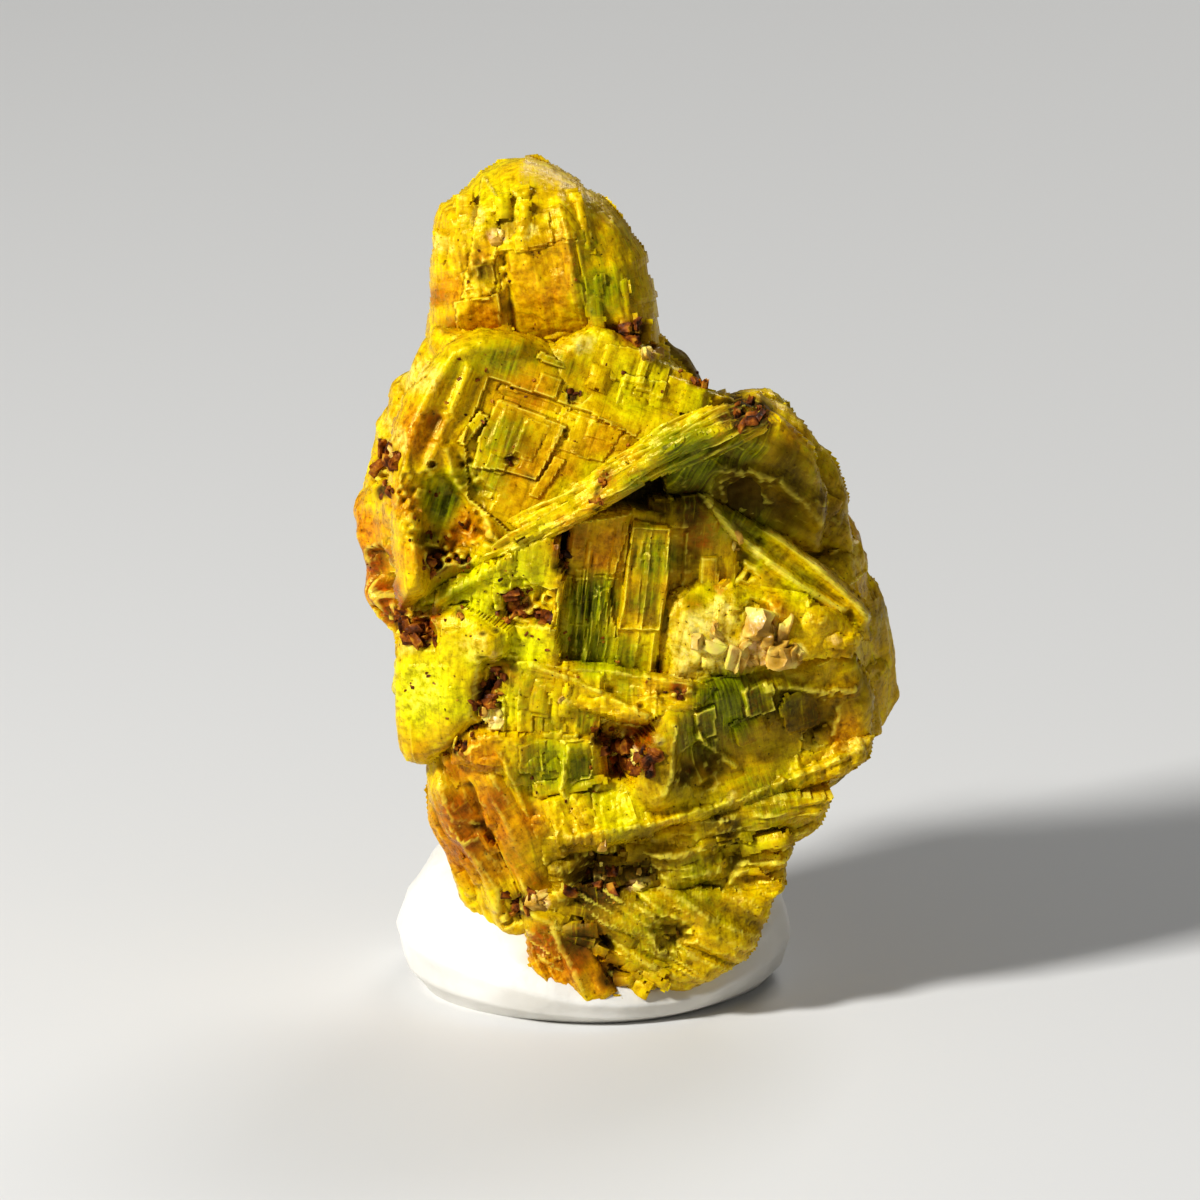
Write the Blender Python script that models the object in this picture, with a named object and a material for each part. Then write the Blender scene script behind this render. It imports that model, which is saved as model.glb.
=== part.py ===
"""Uranocircite specimen: one intergrown cluster of tabular crystals, held upright in a lump of putty.

The cluster is one solid. Each crystal in it is a book of flat leaves that step back like cleavage
steps, and all the books are joined. The putty is a hand-pressed lump with a socket for the foot.
X is to the right as the specimen is shown, Y is away from the viewer and Z is up.
"""

import math
import random
from dataclasses import dataclass

import bmesh
import bpy
from mathutils import Matrix, Vector

MM = 0.001
SEED = 11
# EXACT leaves faces missing among this many crossing crystals
SOLVER = "MANIFOLD"

# Driving dimensions, in millimetres
LEAF_STEP = 0.26
LEAF_INSET = 0.13
LEAF_TUCK = 0.1
NICK_DEPTH = (0.10, 0.28)
SHORTEST_NICKED_SIDE = 0.8
PUTTY_WIDTH = 7.8
PUTTY_DEPTH = 7.4
PUTTY_HEIGHT = 3.3
PUTTY_FRONT_DIP = 0.6
PUTTY_FRONT = math.radians(-68)
SOCKET_GAP = 0.18
SOCKET_REACH = 5.0

# Height share and radius share of the putty's side, from the floor to the crown
PUTTY_PROFILE = (
    (0.0, 0.88),
    (0.12, 0.965),
    (0.32, 1.0),
    (0.52, 0.95),
    (0.70, 0.83),
    (0.85, 0.64),
    (0.95, 0.38),
)
PUTTY_SIDES = 36


@dataclass
class Crystal:
    """A tabular crystal, in millimetres and degrees.

    at is the centre of its outer face. size is width, height and thickness. facing is the azimuth and
    elevation that the face looks to, with azimuth 0 towards the viewer and 90 to the right. roll turns
    the leaves in their own plane, and lean turns the whole crystal about the line of sight. cuts are
    the corner cuts: top right, top left, bottom left, bottom right.
    """

    at: tuple
    size: tuple
    facing: tuple
    roll: float = 0.0
    lean: float = 0.0
    cuts: tuple = (0.5, 0.5, 0.5, 0.5)
    leaves: int = 3


CRYSTALS = {
    # Upper knob
    "knob": Crystal((-1.15, -1.7, 14.55), (3.8, 4.8, 3.2), (-4, 10), 10, 0, (1.6, 1.3, 0.4, 0.5), 4),
    "knob_left": Crystal((-2.35, -0.7, 13.9), (1.9, 4.0, 1.8), (-42, 6), 6, 0, (0.5, 0.8, 0.3, 0.3)),
    "knob_right": Crystal((0.15, -0.8, 13.6), (2.7, 4.2, 2.6), (42, 8), 10, 0, (1.5, 0.6, 0.3, 0.4)),
    "knob_back": Crystal((-0.9, 1.5, 14.0), (3.5, 4.4, 2.4), (172, 14), -8, 0, (1.2, 1.3, 0.5, 0.5)),
    "knob_foot": Crystal((0.65, -1.4, 12.75), (1.9, 1.9, 2.4), (30, 16), -14, 0, (0.7, 0.4, 0.3, 0.4)),
    # Framed plate and its raised left rim
    "frame_plate": Crystal((-0.85, -3.0, 11.55), (4.9, 4.7, 3.0), (2, 14), -20, 0, (0.9, 0.9, 0.9, 0.9), 4),
    "rim_top": Crystal((-2.6, -3.15, 12.95), (1.0, 2.5, 2.2), (-22, 14), -46, 0, (0.25, 0.25, 0.25, 0.25), 2),
    "rim_middle": Crystal((-3.45, -3.05, 11.4), (1.1, 2.7, 2.4), (-30, 4), -12, 0, (0.3, 0.3, 0.3, 0.3), 2),
    "rim_low": Crystal((-3.3, -3.25, 9.75), (1.2, 2.3, 2.4), (-28, -6), 14, 0, (0.4, 0.4, 0.4, 0.4), 2),
    "upper_steps": Crystal((1.3, -2.4, 12.35), (3.6, 2.6, 2.8), (14, 26), -22, 0, (0.9, 0.4, 0.4, 0.5), 4),
    "left_lobe": Crystal((-4.25, -1.4, 9.05), (2.5, 3.4, 2.2), (-56, -2), 7, 0, (0.6, 0.9, 0.9, 0.6)),
    "left_shelf": Crystal((-3.6, -1.2, 11.6), (2.0, 3.2, 2.0), (-58, 10), -16, 0, (0.6, 0.7, 0.4, 0.4)),
    # Right shoulder
    "shoulder_top": Crystal((2.9, -0.7, 11.75), (2.6, 2.4, 3.0), (24, 46), -10, 0, (0.6, 0.6, 0.4, 0.4)),
    "shoulder": Crystal((3.3, -1.8, 10.5), (3.4, 3.4, 3.4), (22, 12), -24, 0, (1.2, 0.8, 0.6, 0.7), 4),
    "shoulder_rim": Crystal((4.5, -0.8, 9.75), (2.6, 4.2, 3.4), (54, 12), -20, 0, (1.2, 1.0, 0.7, 0.7)),
    # Blade that crosses in front, seen on its edge
    "blade": Crystal((0.95, -4.15, 11.2), (6.2, 0.6, 2.2), (2, 4), 33, 0, (0.2, 0.12, 0.15, 0.2), 2),
    "blade_heel": Crystal((2.05, -3.75, 11.95), (2.9, 1.1, 2.3), (2, 12), 28, 0, (0.5, 0.3, 0.3, 0.3), 3),
    # Window plates below the blade
    "window": Crystal((0.9, -3.1, 8.7), (3.1, 3.7, 2.8), (5, -3), -8, 0, (0.3, 0.3, 0.3, 0.4), 4),
    "window_strip": Crystal((1.35, -3.3, 8.8), (1.0, 3.0, 1.2), (6, -2), -8, 0, (0.08, 0.08, 0.1, 0.1), 2),
    "left_middle": Crystal((-1.8, -3.6, 8.5), (3.2, 2.8, 2.8), (-10, -4), -8, 0, (0.3, 0.5, 0.5, 0.3), 4),
    "left_low": Crystal((-2.95, -3.6, 6.65), (1.9, 3.3, 2.4), (-22, -4), 3, 0, (0.3, 0.4, 0.6, 0.5), 3),
    "low_middle": Crystal((-0.8, -3.8, 6.4), (3.4, 1.7, 2.4), (-3, 2), -4, 0, (0.3, 0.3, 0.3, 0.3), 4),
    "fan": Crystal((0.6, -3.3, 7.5), (3.8, 2.4, 0.4), (0, 72), 0, -10, (0.3, 0.3, 0.7, 0.5), 2),
    # Right side below the shoulder
    "green_edge": Crystal((3.7, -2.6, 8.6), (4.2, 2.2, 2.8), (12, 12), -38, 0, (0.5, 0.6, 0.5, 0.5), 4),
    "lumps": Crystal((3.1, -3.1, 7.9), (2.6, 1.7, 1.6), (6, 8), -12, 0, (0.5, 0.5, 0.5, 0.5), 2),
    "beak": Crystal((2.9, -3.1, 7.0), (3.4, 2.6, 0.5), (8, 66), 0, 14, (0.5, 0.5, 0.8, 0.6), 2),
    "right_low": Crystal((3.7, -3.0, 5.8), (4.4, 2.9, 3.4), (20, -14), 14, 0, (0.6, 0.4, 0.5, 1.0), 4),
    "right_flank": Crystal((5.5, -0.9, 6.9), (3.2, 4.8, 3.0), (62, -2), 5, 0, (1.1, 0.8, 0.7, 1.1)),
    # Lower band, ledge and foot
    "under_band": Crystal((-0.1, -3.7, 4.95), (5.4, 2.0, 3.0), (-2, -14), 4, 0, (0.4, 0.4, 0.5, 0.5), 4),
    "ledge": Crystal((2.0, -3.1, 4.9), (6.0, 2.4, 0.5), (4, 72), 0, 17, (0.6, 0.5, 0.6, 0.6), 2),
    "lower_left": Crystal((-1.75, -3.0, 3.2), (2.0, 4.3, 2.4), (-24, -16), 24, 0, (0.4, 0.5, 0.6, 0.5)),
    "foot_upper": Crystal((1.9, -3.1, 3.1), (4.6, 2.3, 3.6), (6, -14), 9, 0, (0.5, 0.5, 0.4, 0.7), 4),
    "foot_lower": Crystal((1.4, -2.9, 1.75), (3.9, 2.1, 3.2), (2, -16), 7, 0, (0.5, 0.4, 0.8, 1.0), 3),
    "spur": Crystal((0.2, -3.0, 1.6), (1.5, 2.4, 2.0), (-8, -14), 26, 0, (0.3, 0.4, 0.5, 0.5), 2),
    # Back and flanks
    "back_top": Crystal((-0.7, 2.5, 11.0), (3.6, 4.0, 3.0), (176, 10), 14, 0, (0.9, 1.0, 0.6, 0.7), 3),
    "back_middle": Crystal((0.9, 3.4, 8.2), (6.6, 4.8, 3.6), (184, -3), -16, 0, (0.9, 0.8, 0.9, 0.9), 3),
    "back_left": Crystal((-3.6, 1.3, 8.0), (4.2, 5.4, 3.0), (-108, -4), 12, 0, (0.9, 0.8, 0.8, 0.8), 3),
    "back_right": Crystal((4.8, 1.6, 7.8), (4.2, 5.4, 3.2), (118, 4), -10, 0, (0.9, 1.1, 0.8, 1.0), 3),
    "back_low": Crystal((1.0, 2.6, 5.0), (5.4, 3.6, 3.6), (178, -22), 10, 0, (0.8, 0.8, 0.9, 0.9), 3),
    "back_blade": Crystal((-0.6, 2.9, 9.9), (6.0, 2.6, 0.6), (180, 58), 0, -22, (0.5, 0.5, 0.7, 0.6), 2),
    "low_left_flank": Crystal((-2.6, -0.6, 4.6), (3.4, 3.8, 2.6), (-80, -14), 16, 0, (0.7, 0.7, 0.8, 0.8)),
    "low_right_flank": Crystal((4.9, -0.9, 4.95), (3.6, 3.2, 3.2), (62, -24), 8, 0, (0.8, 0.6, 0.8, 0.9)),
}

# The massive core that the crystals have grown from: centre, half sizes and tilt to the right
CORE = ((0.5, -0.2, 7.9), (3.6, 2.5, 6.1), 8.0)
SHOULDER_CORE = ((3.1, -0.5, 10.5), (1.6, 1.9, 1.6), -20.0)

# Pits, each a rough pocket: centre, half sizes and turn about the line of sight
PITS = {
    "cave_under_blade": ((1.6, -3.6, 10.15), (0.95, 0.9, 0.32), 24.0),
    "rust_pit": ((0.9, -4.1, 5.75), (0.45, 0.8, 0.40), 30.0),
    "edge_pit": ((-3.4, -4.0, 8.1), (0.22, 0.7, 0.38), 10.0),
    "plate_pit": ((-1.5, -3.9, 8.35), (0.55, 0.5, 0.30), -20.0),
    "seam_pit": ((-2.0, -3.9, 6.95), (0.32, 0.6, 0.50), 20.0),
    "ledge_recess": ((1.3, -3.9, 4.15), (1.7, 0.9, 0.28), 14.0),
}


def turned_frame(crystal):
    """The crystal's frame: local X and Y lie in its leaves, and local Z points out of its face."""
    upright = Matrix.Rotation(math.radians(90), 4, "X")
    azimuth, elevation = crystal.facing
    tipped = Matrix.Rotation(math.radians(-elevation), 4, "X")
    swung = Matrix.Rotation(math.radians(azimuth), 4, "Z")
    leaned = Matrix.Rotation(math.radians(-crystal.lean), 4, "Y")
    rolled = Matrix.Rotation(math.radians(crystal.roll), 4, "Z")
    place = Matrix.Translation(Vector(crystal.at) * MM)
    return place @ leaned @ swung @ tipped @ upright @ rolled


def nicked_side(start, end, along, inward, chance):
    """Points of one straight side from start to end, stepped in over a stretch if there is room."""
    length = abs(end - start)
    way = 1 if end > start else -1
    stretch = chance.uniform(0.22, 0.4) * length
    begin = start + way * chance.uniform(0.15, 0.45) * length
    finish = begin + way * stretch
    depth = inward * chance.uniform(*NICK_DEPTH)
    if length < SHORTEST_NICKED_SIDE:
        return [along(start, 0.0), along(end, 0.0)]
    return [
        along(start, 0.0),
        along(begin, 0.0),
        along(begin, depth),
        along(finish, depth),
        along(finish, 0.0),
        along(end, 0.0),
    ]


def leaf_outline(width, height, cuts, chance):
    """A rectangle with cut corners and a square nick in its right and top sides, anticlockwise."""
    x, y = width / 2, height / 2
    top_right, top_left, low_left, low_right = (cut * chance.uniform(0.8, 1.1) for cut in cuts)
    right = nicked_side(-y + low_right, y - top_right, lambda t, d: (x + d, t), -1, chance)
    top = nicked_side(x - top_right, -x + top_left, lambda t, d: (t, y + d), -1, chance)
    left = [(-x, y - top_left), (-x, -y + low_left)]
    bottom = [(-x + low_left, -y), (x - low_right, -y)]
    return right + top + left + bottom


def new_object(name, bm):
    mesh = bpy.data.meshes.new(name)
    bm.to_mesh(mesh)
    bm.free()
    obj = bpy.data.objects.new(name, mesh)
    bpy.context.scene.collection.objects.link(obj)
    return obj


def prism(outline, front, back):
    """A closed straight-sided solid between two levels of local Z."""
    bm = bmesh.new()
    base = bm.faces.new([bm.verts.new((x * MM, y * MM, back * MM)) for x, y in outline])
    made = bmesh.ops.extrude_face_region(bm, geom=[base])
    raised = [v for v in made["geom"] if isinstance(v, bmesh.types.BMVert)]
    bmesh.ops.translate(bm, verts=raised, vec=(0, 0, (front - back) * MM))
    bmesh.ops.recalc_face_normals(bm, faces=bm.faces)
    return bm


def helper(obj, collection):
    """Keeps a shape out of the render, as material for a Boolean."""
    obj.hide_render = True
    obj.display_type = "WIRE"
    collection.objects.link(obj)
    bpy.context.scene.collection.objects.unlink(obj)


def helper_collection(name):
    collection = bpy.data.collections.new(name)
    bpy.context.scene.collection.children.link(collection)
    return collection


def add_leaves(name, crystal, collection, chance):
    """The crystal's leaves: the outer one is the smallest, and each next one stands out past it."""
    width, height, thickness = crystal.size
    frame = turned_frame(crystal)
    for number in range(crystal.leaves):
        inset = LEAF_INSET * (crystal.leaves - 1 - number) * chance.uniform(0.7, 1.6)
        front = -LEAF_STEP * number * chance.uniform(0.8, 1.1) * min(1.0, thickness / 1.4)
        back = min(front - 0.2, -thickness + LEAF_TUCK * (crystal.leaves - 1 - number))
        shift = Vector([chance.uniform(-0.5, 0.5) * inset for _ in range(2)] + [0.0]) * MM
        outline = leaf_outline(width - 2 * inset, height - 2 * inset, crystal.cuts, chance)
        leaf = new_object(f"{name}_leaf_{number}", prism(outline, front, back))
        leaf.matrix_world = frame @ Matrix.Translation(shift)
        helper(leaf, collection)


def faceted_ball(name, at, half, tilt, chance, roughness, subdivisions):
    """A rough rounded lump with flat facets."""
    bm = bmesh.new()
    bmesh.ops.create_icosphere(bm, subdivisions=subdivisions, radius=1.0)
    for vert in bm.verts:
        vert.co *= 1.0 + chance.uniform(-roughness, roughness)
    sized = Matrix.Diagonal((*(Vector(half) * MM), 1.0))
    turn = Matrix.Rotation(math.radians(-tilt), 4, "Y")
    bmesh.ops.transform(bm, matrix=Matrix.Translation(Vector(at) * MM) @ turn @ sized, verts=bm.verts)
    return new_object(name, bm)


def boolean(obj, operation, operand):
    modifier = obj.modifiers.new(operation.title(), "BOOLEAN")
    modifier.operation = operation
    modifier.solver = SOLVER
    if isinstance(operand, bpy.types.Collection):
        modifier.operand_type = "COLLECTION"
        modifier.collection = operand
    else:
        modifier.object = operand


def material(name, colour, roughness):
    made = bpy.data.materials.new(name)
    made.use_nodes = True
    shader = made.node_tree.nodes["Principled BSDF"]
    shader.inputs["Base Color"].default_value = (*colour, 1.0)
    shader.inputs["Roughness"].default_value = roughness
    shader.inputs["Metallic"].default_value = 0.0
    made.diffuse_color = (*colour, 1.0)
    return made


def connected_shells(bm):
    """The groups of faces that hang together by plain edges, largest first."""
    waiting = set(bm.faces)
    shells = []
    while waiting:
        shell = [waiting.pop()]
        for face in shell:
            for edge in face.edges:
                if len(edge.link_faces) != 2:
                    continue
                for other in edge.link_faces:
                    if other in waiting:
                        waiting.remove(other)
                        shell.append(other)
        shells.append(shell)
    return sorted(shells, key=len, reverse=True)


def fill_hollows(obj):
    """Settles the Booleans and keeps the outer skin, so hollows shut in between crystals are solid."""
    bpy.context.view_layer.update()
    evaluated = obj.evaluated_get(bpy.context.evaluated_depsgraph_get())
    settled = bpy.data.meshes.new_from_object(evaluated)
    bm = bmesh.new()
    bm.from_mesh(settled)
    for shell in connected_shells(bm)[1:]:
        bmesh.ops.delete(bm, geom=shell, context="FACES")
    for face in bm.faces:
        face.material_index = 0
    settled.materials.clear()
    bm.to_mesh(settled)
    bm.free()
    obj.modifiers.clear()
    obj.data = settled


def crystal_cluster():
    chance = random.Random(SEED)
    cluster = faceted_ball("crystal_cluster", *CORE, chance, 0.05, 2)
    leaves = helper_collection("leaves")
    helper(faceted_ball("shoulder_core", *SHOULDER_CORE, chance, 0.05, 2), leaves)
    for name, crystal in CRYSTALS.items():
        add_leaves(name, crystal, leaves, chance)
    pits = helper_collection("pits")
    for name, (at, half, turn) in PITS.items():
        helper(faceted_ball(name, at, half, turn, chance, 0.18, 1), pits)
    boolean(cluster, "UNION", leaves)
    boolean(cluster, "DIFFERENCE", pits)
    fill_hollows(cluster)
    cluster.data.materials.append(material("uranocircite", (0.62, 0.55, 0.03), 0.38))
    return cluster


def evaluated_points(obj):
    bpy.context.view_layer.update()
    evaluated = obj.evaluated_get(bpy.context.evaluated_depsgraph_get())
    mesh = evaluated.to_mesh()
    points = [evaluated.matrix_world @ vert.co for vert in mesh.vertices]
    evaluated.to_mesh_clear()
    return points


def socket_cutter(cluster):
    """The convex shape around the cluster's foot, a little larger all round."""
    gap = SOCKET_GAP * MM
    corners = [Vector((x, y, z)) * gap for x in (-1, 1) for y in (-1, 1) for z in (-1, 1)]
    bm = bmesh.new()
    for point in evaluated_points(cluster):
        if point.z < SOCKET_REACH * MM:
            for corner in corners:
                bm.verts.new(point + corner)
    hull = bmesh.ops.convex_hull(bm, input=bm.verts)
    spare = {g for g in hull["geom_interior"] + hull["geom_unused"] if isinstance(g, bmesh.types.BMVert)}
    bmesh.ops.delete(bm, geom=list(spare), context="VERTS")
    bmesh.ops.recalc_face_normals(bm, faces=bm.faces)
    return new_object("socket", bm)


def putty_lump():
    """Rings of points from the floor to the crown, wider on some sides where fingers pressed it."""
    bm = bmesh.new()
    rings = []
    for height, share in PUTTY_PROFILE:
        ring = []
        for side in range(PUTTY_SIDES):
            angle = math.tau * side / PUTTY_SIDES
            lumpy = 1.0 + 0.022 * math.sin(3 * angle + 0.6) + 0.014 * math.sin(5 * angle + 2.0)
            dip = PUTTY_FRONT_DIP * max(0.0, math.cos(angle - PUTTY_FRONT)) ** 2
            x = PUTTY_WIDTH / 2 * share * lumpy * math.cos(angle)
            y = PUTTY_DEPTH / 2 * share * lumpy * math.sin(angle)
            z = height * PUTTY_HEIGHT * (1.0 - dip)
            ring.append(bm.verts.new((x * MM, y * MM, z * MM)))
        rings.append(ring)
    for lower, upper in zip(rings, rings[1:]):
        for side in range(PUTTY_SIDES):
            after = (side + 1) % PUTTY_SIDES
            bm.faces.new((lower[side], lower[after], upper[after], upper[side]))
    bm.faces.new(list(reversed(rings[0])))
    crown = bm.verts.new((0, 0, PUTTY_HEIGHT * MM))
    for side in range(PUTTY_SIDES):
        bm.faces.new((rings[-1][side], rings[-1][(side + 1) % PUTTY_SIDES], crown))
    return new_object("putty_base", bm)


def putty_base(cluster):
    putty = putty_lump()
    cutters = helper_collection("cutters")
    socket = socket_cutter(cluster)
    helper(socket, cutters)
    boolean(putty, "DIFFERENCE", socket)
    putty.data.materials.append(material("white_putty", (0.86, 0.85, 0.82), 0.6))
    return putty


def main():
    for obj in list(bpy.data.objects):
        bpy.data.objects.remove(obj)
    cluster = crystal_cluster()
    putty_base(cluster)


main()
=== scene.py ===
import itertools
import math

import bpy
import numpy as np
from mathutils import Matrix, Vector


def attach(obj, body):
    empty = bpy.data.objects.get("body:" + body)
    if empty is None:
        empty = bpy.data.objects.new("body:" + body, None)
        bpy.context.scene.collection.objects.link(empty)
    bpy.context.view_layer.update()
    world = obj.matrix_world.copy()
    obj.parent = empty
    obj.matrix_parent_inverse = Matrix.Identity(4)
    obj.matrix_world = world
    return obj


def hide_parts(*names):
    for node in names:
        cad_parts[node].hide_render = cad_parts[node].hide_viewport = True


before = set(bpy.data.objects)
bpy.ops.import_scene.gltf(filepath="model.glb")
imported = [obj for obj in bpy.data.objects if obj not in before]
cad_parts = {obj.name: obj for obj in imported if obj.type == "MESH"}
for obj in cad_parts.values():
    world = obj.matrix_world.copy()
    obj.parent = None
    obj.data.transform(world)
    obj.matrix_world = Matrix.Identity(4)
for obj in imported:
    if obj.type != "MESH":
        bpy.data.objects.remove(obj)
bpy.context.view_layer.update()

MM = 0.001

# How close the points of a cleaved face lie, in millimetres
CRISP = 0.034
PLAIN = 0.05
COARSE = 0.07

# The photograph is 1200 points wide. One point is 0.02 mm at the specimen, and the specimen's
# origin, under its putty, shows at 590, 975.
POINT = 0.02
PHOTO_MIDDLE = 600
VIEW_HEIGHT = math.radians(15)
VIEW_DISTANCE = 266.7
RIGHT = np.array([1.0, 0.0, 0.0])
UP = np.array([0.0, math.sin(VIEW_HEIGHT), math.cos(VIEW_HEIGHT)])
BACK = np.array([0.0, -math.cos(VIEW_HEIGHT), math.sin(VIEW_HEIGHT)])
VIEW_CENTRE = RIGHT * 0.2 + UP * 7.5
EYE = VIEW_CENTRE + BACK * VIEW_DISTANCE


# Where things lie

def sight(px, py):
    """The direction in which the photograph's point px, py lies from the eye."""
    return RIGHT * (px - PHOTO_MIDDLE) * POINT + UP * (PHOTO_MIDDLE - py) * POINT - BACK * VIEW_DISTANCE


def photo_points(places):
    """The photograph's points at which places in millimetres show, as an array of x and y."""
    rel = places - EYE
    near = VIEW_DISTANCE / -(rel @ BACK) / POINT
    return np.stack([PHOTO_MIDDLE + (rel @ RIGHT) * near, PHOTO_MIDDLE - (rel @ UP) * near], axis=-1)


def value_noise(places, cell, seed):
    """Smooth random values between -1 and 1 at places in millimetres, with bumps about cell across."""
    knots = np.random.default_rng(seed).uniform(-1, 1, (32, 32, 32))
    scaled = np.asarray(places, float) / cell + 512.0
    whole = np.floor(scaled).astype(int)
    part = scaled - whole
    part = part * part * (3 - 2 * part)
    total = np.zeros(scaled.shape[:-1])
    for corner in itertools.product((0, 1), repeat=3):
        at = (whole + np.array(corner)) % 32
        weight = np.prod(np.where(np.array(corner) == 1, part, 1 - part), axis=-1)
        total += weight * knots[at[..., 0], at[..., 1], at[..., 2]]
    return total


class Crystal:
    """One tabular crystal, a stack of thin cleavage sheets.

    at is a point of its outer face in millimetres and facing is where that face looks, as azimuth
    and elevation in degrees. roll turns the sheets' edges in the plane of the face. The outline is
    either traced, as points of the photograph, or a rectangle of size with its corners cut.
    deep is the crystal's thickness, sheet the thickness of one visible step of sheets, flat how much
    of the face is broken into such steps, rounded the width and fall of its worn border, and fibres
    the angle, spacing and depth of its striation. A square crystal has a border broken in steps,
    and taper is how much the crystal narrows towards its back.
    """

    def __init__(self, at, facing, roll=0.0, outline=None, size=None, cuts=(0.6,) * 4, deep=2.6, **more):
        self.at, self.facing, self.roll, self.deep = at, facing, roll, deep
        self.outline, self.size, self.cuts = outline, size, cuts
        self.pitch = more.get("pitch", PLAIN)
        self.sheet = more.get("sheet", 0.025)
        self.flat = more.get("flat", 0.5)
        self.rounded = more.get("rounded", (0.5, 0.25))
        self.swell = more.get("swell", 0.10)
        self.strips = more.get("strips", (0.03, 0.14))
        self.ragged = more.get("ragged", 0.06)
        self.square = more.get("square", False)
        self.layers = more.get("layers", 0.25)
        self.taper = more.get("taper", 0.28)
        self.slivers = more.get("slivers", 6)
        self.fibres = more.get("fibres")
        self.worn = more.get("worn", 0)
        self.grain = more.get("grain", 0.010)
        self.marks = more.get("marks", ())

    def frame(self):
        azimuth, elevation = self.facing
        upright = Matrix.Rotation(math.radians(90), 4, "X")
        tipped = Matrix.Rotation(math.radians(-elevation), 4, "X")
        swung = Matrix.Rotation(math.radians(azimuth), 4, "Z")
        rolled = Matrix.Rotation(math.radians(self.roll), 4, "Z")
        return np.array(Matrix.Translation(self.at) @ swung @ tipped @ upright @ rolled)

    def on_face(self, points):
        """Points of the photograph as places on the crystal's outer face, in its own millimetres."""
        placed = self.frame()
        normal, base = placed[:3, 2], placed[:3, 3]
        out = []
        for px, py in points:
            way = sight(px, py)
            hit = EYE + way * ((base - EYE) @ normal) / (way @ normal)
            out.append(placed[:3, :3].T @ (hit - base))
        return np.array(out)[:, :2]

    def border(self):
        if self.outline is not None:
            return self.on_face(self.outline)
        x, y = self.size[0] / 2, self.size[1] / 2
        right_top, left_top, left_low, right_low = self.cuts
        return np.array([(x, y - right_top), (x - right_top * 0.85, y), (-x + left_top * 0.85, y),
                         (-x, y - left_top), (-x, -y + left_low), (-x + left_low * 0.85, -y),
                         (x - right_low * 0.85, -y), (x, -y + right_low)])

# The crystals, group by group. Outlines are traced at the photograph's points, and so are the
# marks on a face: a sheet that lies on it or is missing, a ridge with its half width and rise,
# or a bowl with its radius and depth, all in millimetres.

CROWN = {
    "knob": Crystal(
        (-1.15, -1.9, 14.55), (-4, 10), 10, pitch=CRISP, rounded=(1.7, 1.5), sheet=0.025, deep=2.6, taper=0.4,
        fibres=(88, 0.16, 0.03), grain=0.014, flat=0.3, swell=0.14,
        outline=((425, 262), (428, 222), (433, 207), (447, 200), (461, 192), (473, 178), (492, 167), (521, 158),
                 (550, 167), (578, 181), (604, 203), (624, 228), (642, 258), (652, 296), (656, 350), (419, 352),
                 (425, 300)),
        marks=(("sheet", ((497, 252), (575, 238), (592, 345), (500, 350)), -0.06, 0.04),
               ("sheet", ((516, 219), (548, 211), (552, 246), (514, 252)), 0.06, 0.03),
               ("sheet", ((455, 304), (497, 295), (503, 350), (455, 350)), 0.10, 0.03),
               ("sheet", ((480, 180), (500, 200), (490, 300), (462, 300)), 0.08, 0.06),
               ("bowl", (490, 275), 0.32, 0.16), ("bowl", (503, 225), 0.26, 0.12),
               ("ridge", ((505, 255), (512, 340)), 0.07, -0.10), ("ridge", ((560, 190), (575, 300)), 0.2, 0.12))),
    "knob_left": Crystal(
        (-2.35, -0.7, 13.9), (-42, 6), 6, deep=2.4, rounded=(0.9, 0.8), fibres=(86, 0.2, 0.05),
        outline=((432, 260), (434, 222), (438, 209), (448, 202), (464, 198), (482, 186), (500, 195), (505, 345),
                 (418, 348), (426, 318), (431, 285))),
    "knob_right": Crystal(
        (0.5, -0.9, 13.6), (38, 10), 10, deep=3.0, rounded=(0.7, 0.6), fibres=(80, 0.3, 0.08),
        outline=((560, 172), (596, 185), (614, 203), (630, 224), (646, 242), (657, 266), (664, 296), (666, 345),
                 (600, 352), (560, 340)),
        marks=(("ridge", ((590, 270), (612, 330)), 0.16, 0.14), ("ridge", ((618, 260), (640, 320)), 0.2, -0.16))),
    "knob_back": Crystal((-0.9, 1.5, 14.0), (172, 14), -8, size=(3.5, 4.4), cuts=(1.2, 1.3, 0.5, 0.5), deep=2.4,
                         rounded=(1.0, 0.6), fibres=(85, 0.2, 0.05), pitch=COARSE),
    "knob_foot": Crystal(
        (0.65, -1.4, 12.75), (30, 16), -14, deep=2.4, rounded=(0.4, 0.3), swell=0.16,
        outline=((590, 290), (645, 290), (656, 300), (655, 324), (669, 336), (675, 354), (698, 376), (640, 392),
                 (590, 360)),
        marks=(("bowl", (634, 330), 0.34, 0.35),)),
    "upper_steps": Crystal(
        (1.3, -2.4, 12.35), (14, 26), -22, pitch=CRISP, square=True, deep=2.8, rounded=(0.35, 0.22), sheet=0.025, swell=0.16,
        outline=((548, 344), (570, 331), (592, 322), (614, 330), (642, 342), (670, 360), (702, 384), (730, 398),
                 (700, 420), (640, 450), (590, 450), (560, 400)),
        marks=(("sheet", ((600, 345), (650, 350), (640, 385), (598, 372)), 0.08, 0.04),
               ("sheet", ((622, 372), (690, 392), (676, 430), (610, 410)), 0.10, 0.04),
               ("sheet", ((640, 352), (672, 366), (660, 400), (632, 388)), 0.07, 0.03),
               ("sheet", ((570, 400), (620, 410), (610, 450), (560, 440)), -0.08, 0.04),
               ("ridge", ((572, 345), (590, 330), (606, 336)), 0.12, 0.10))),
}

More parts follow.
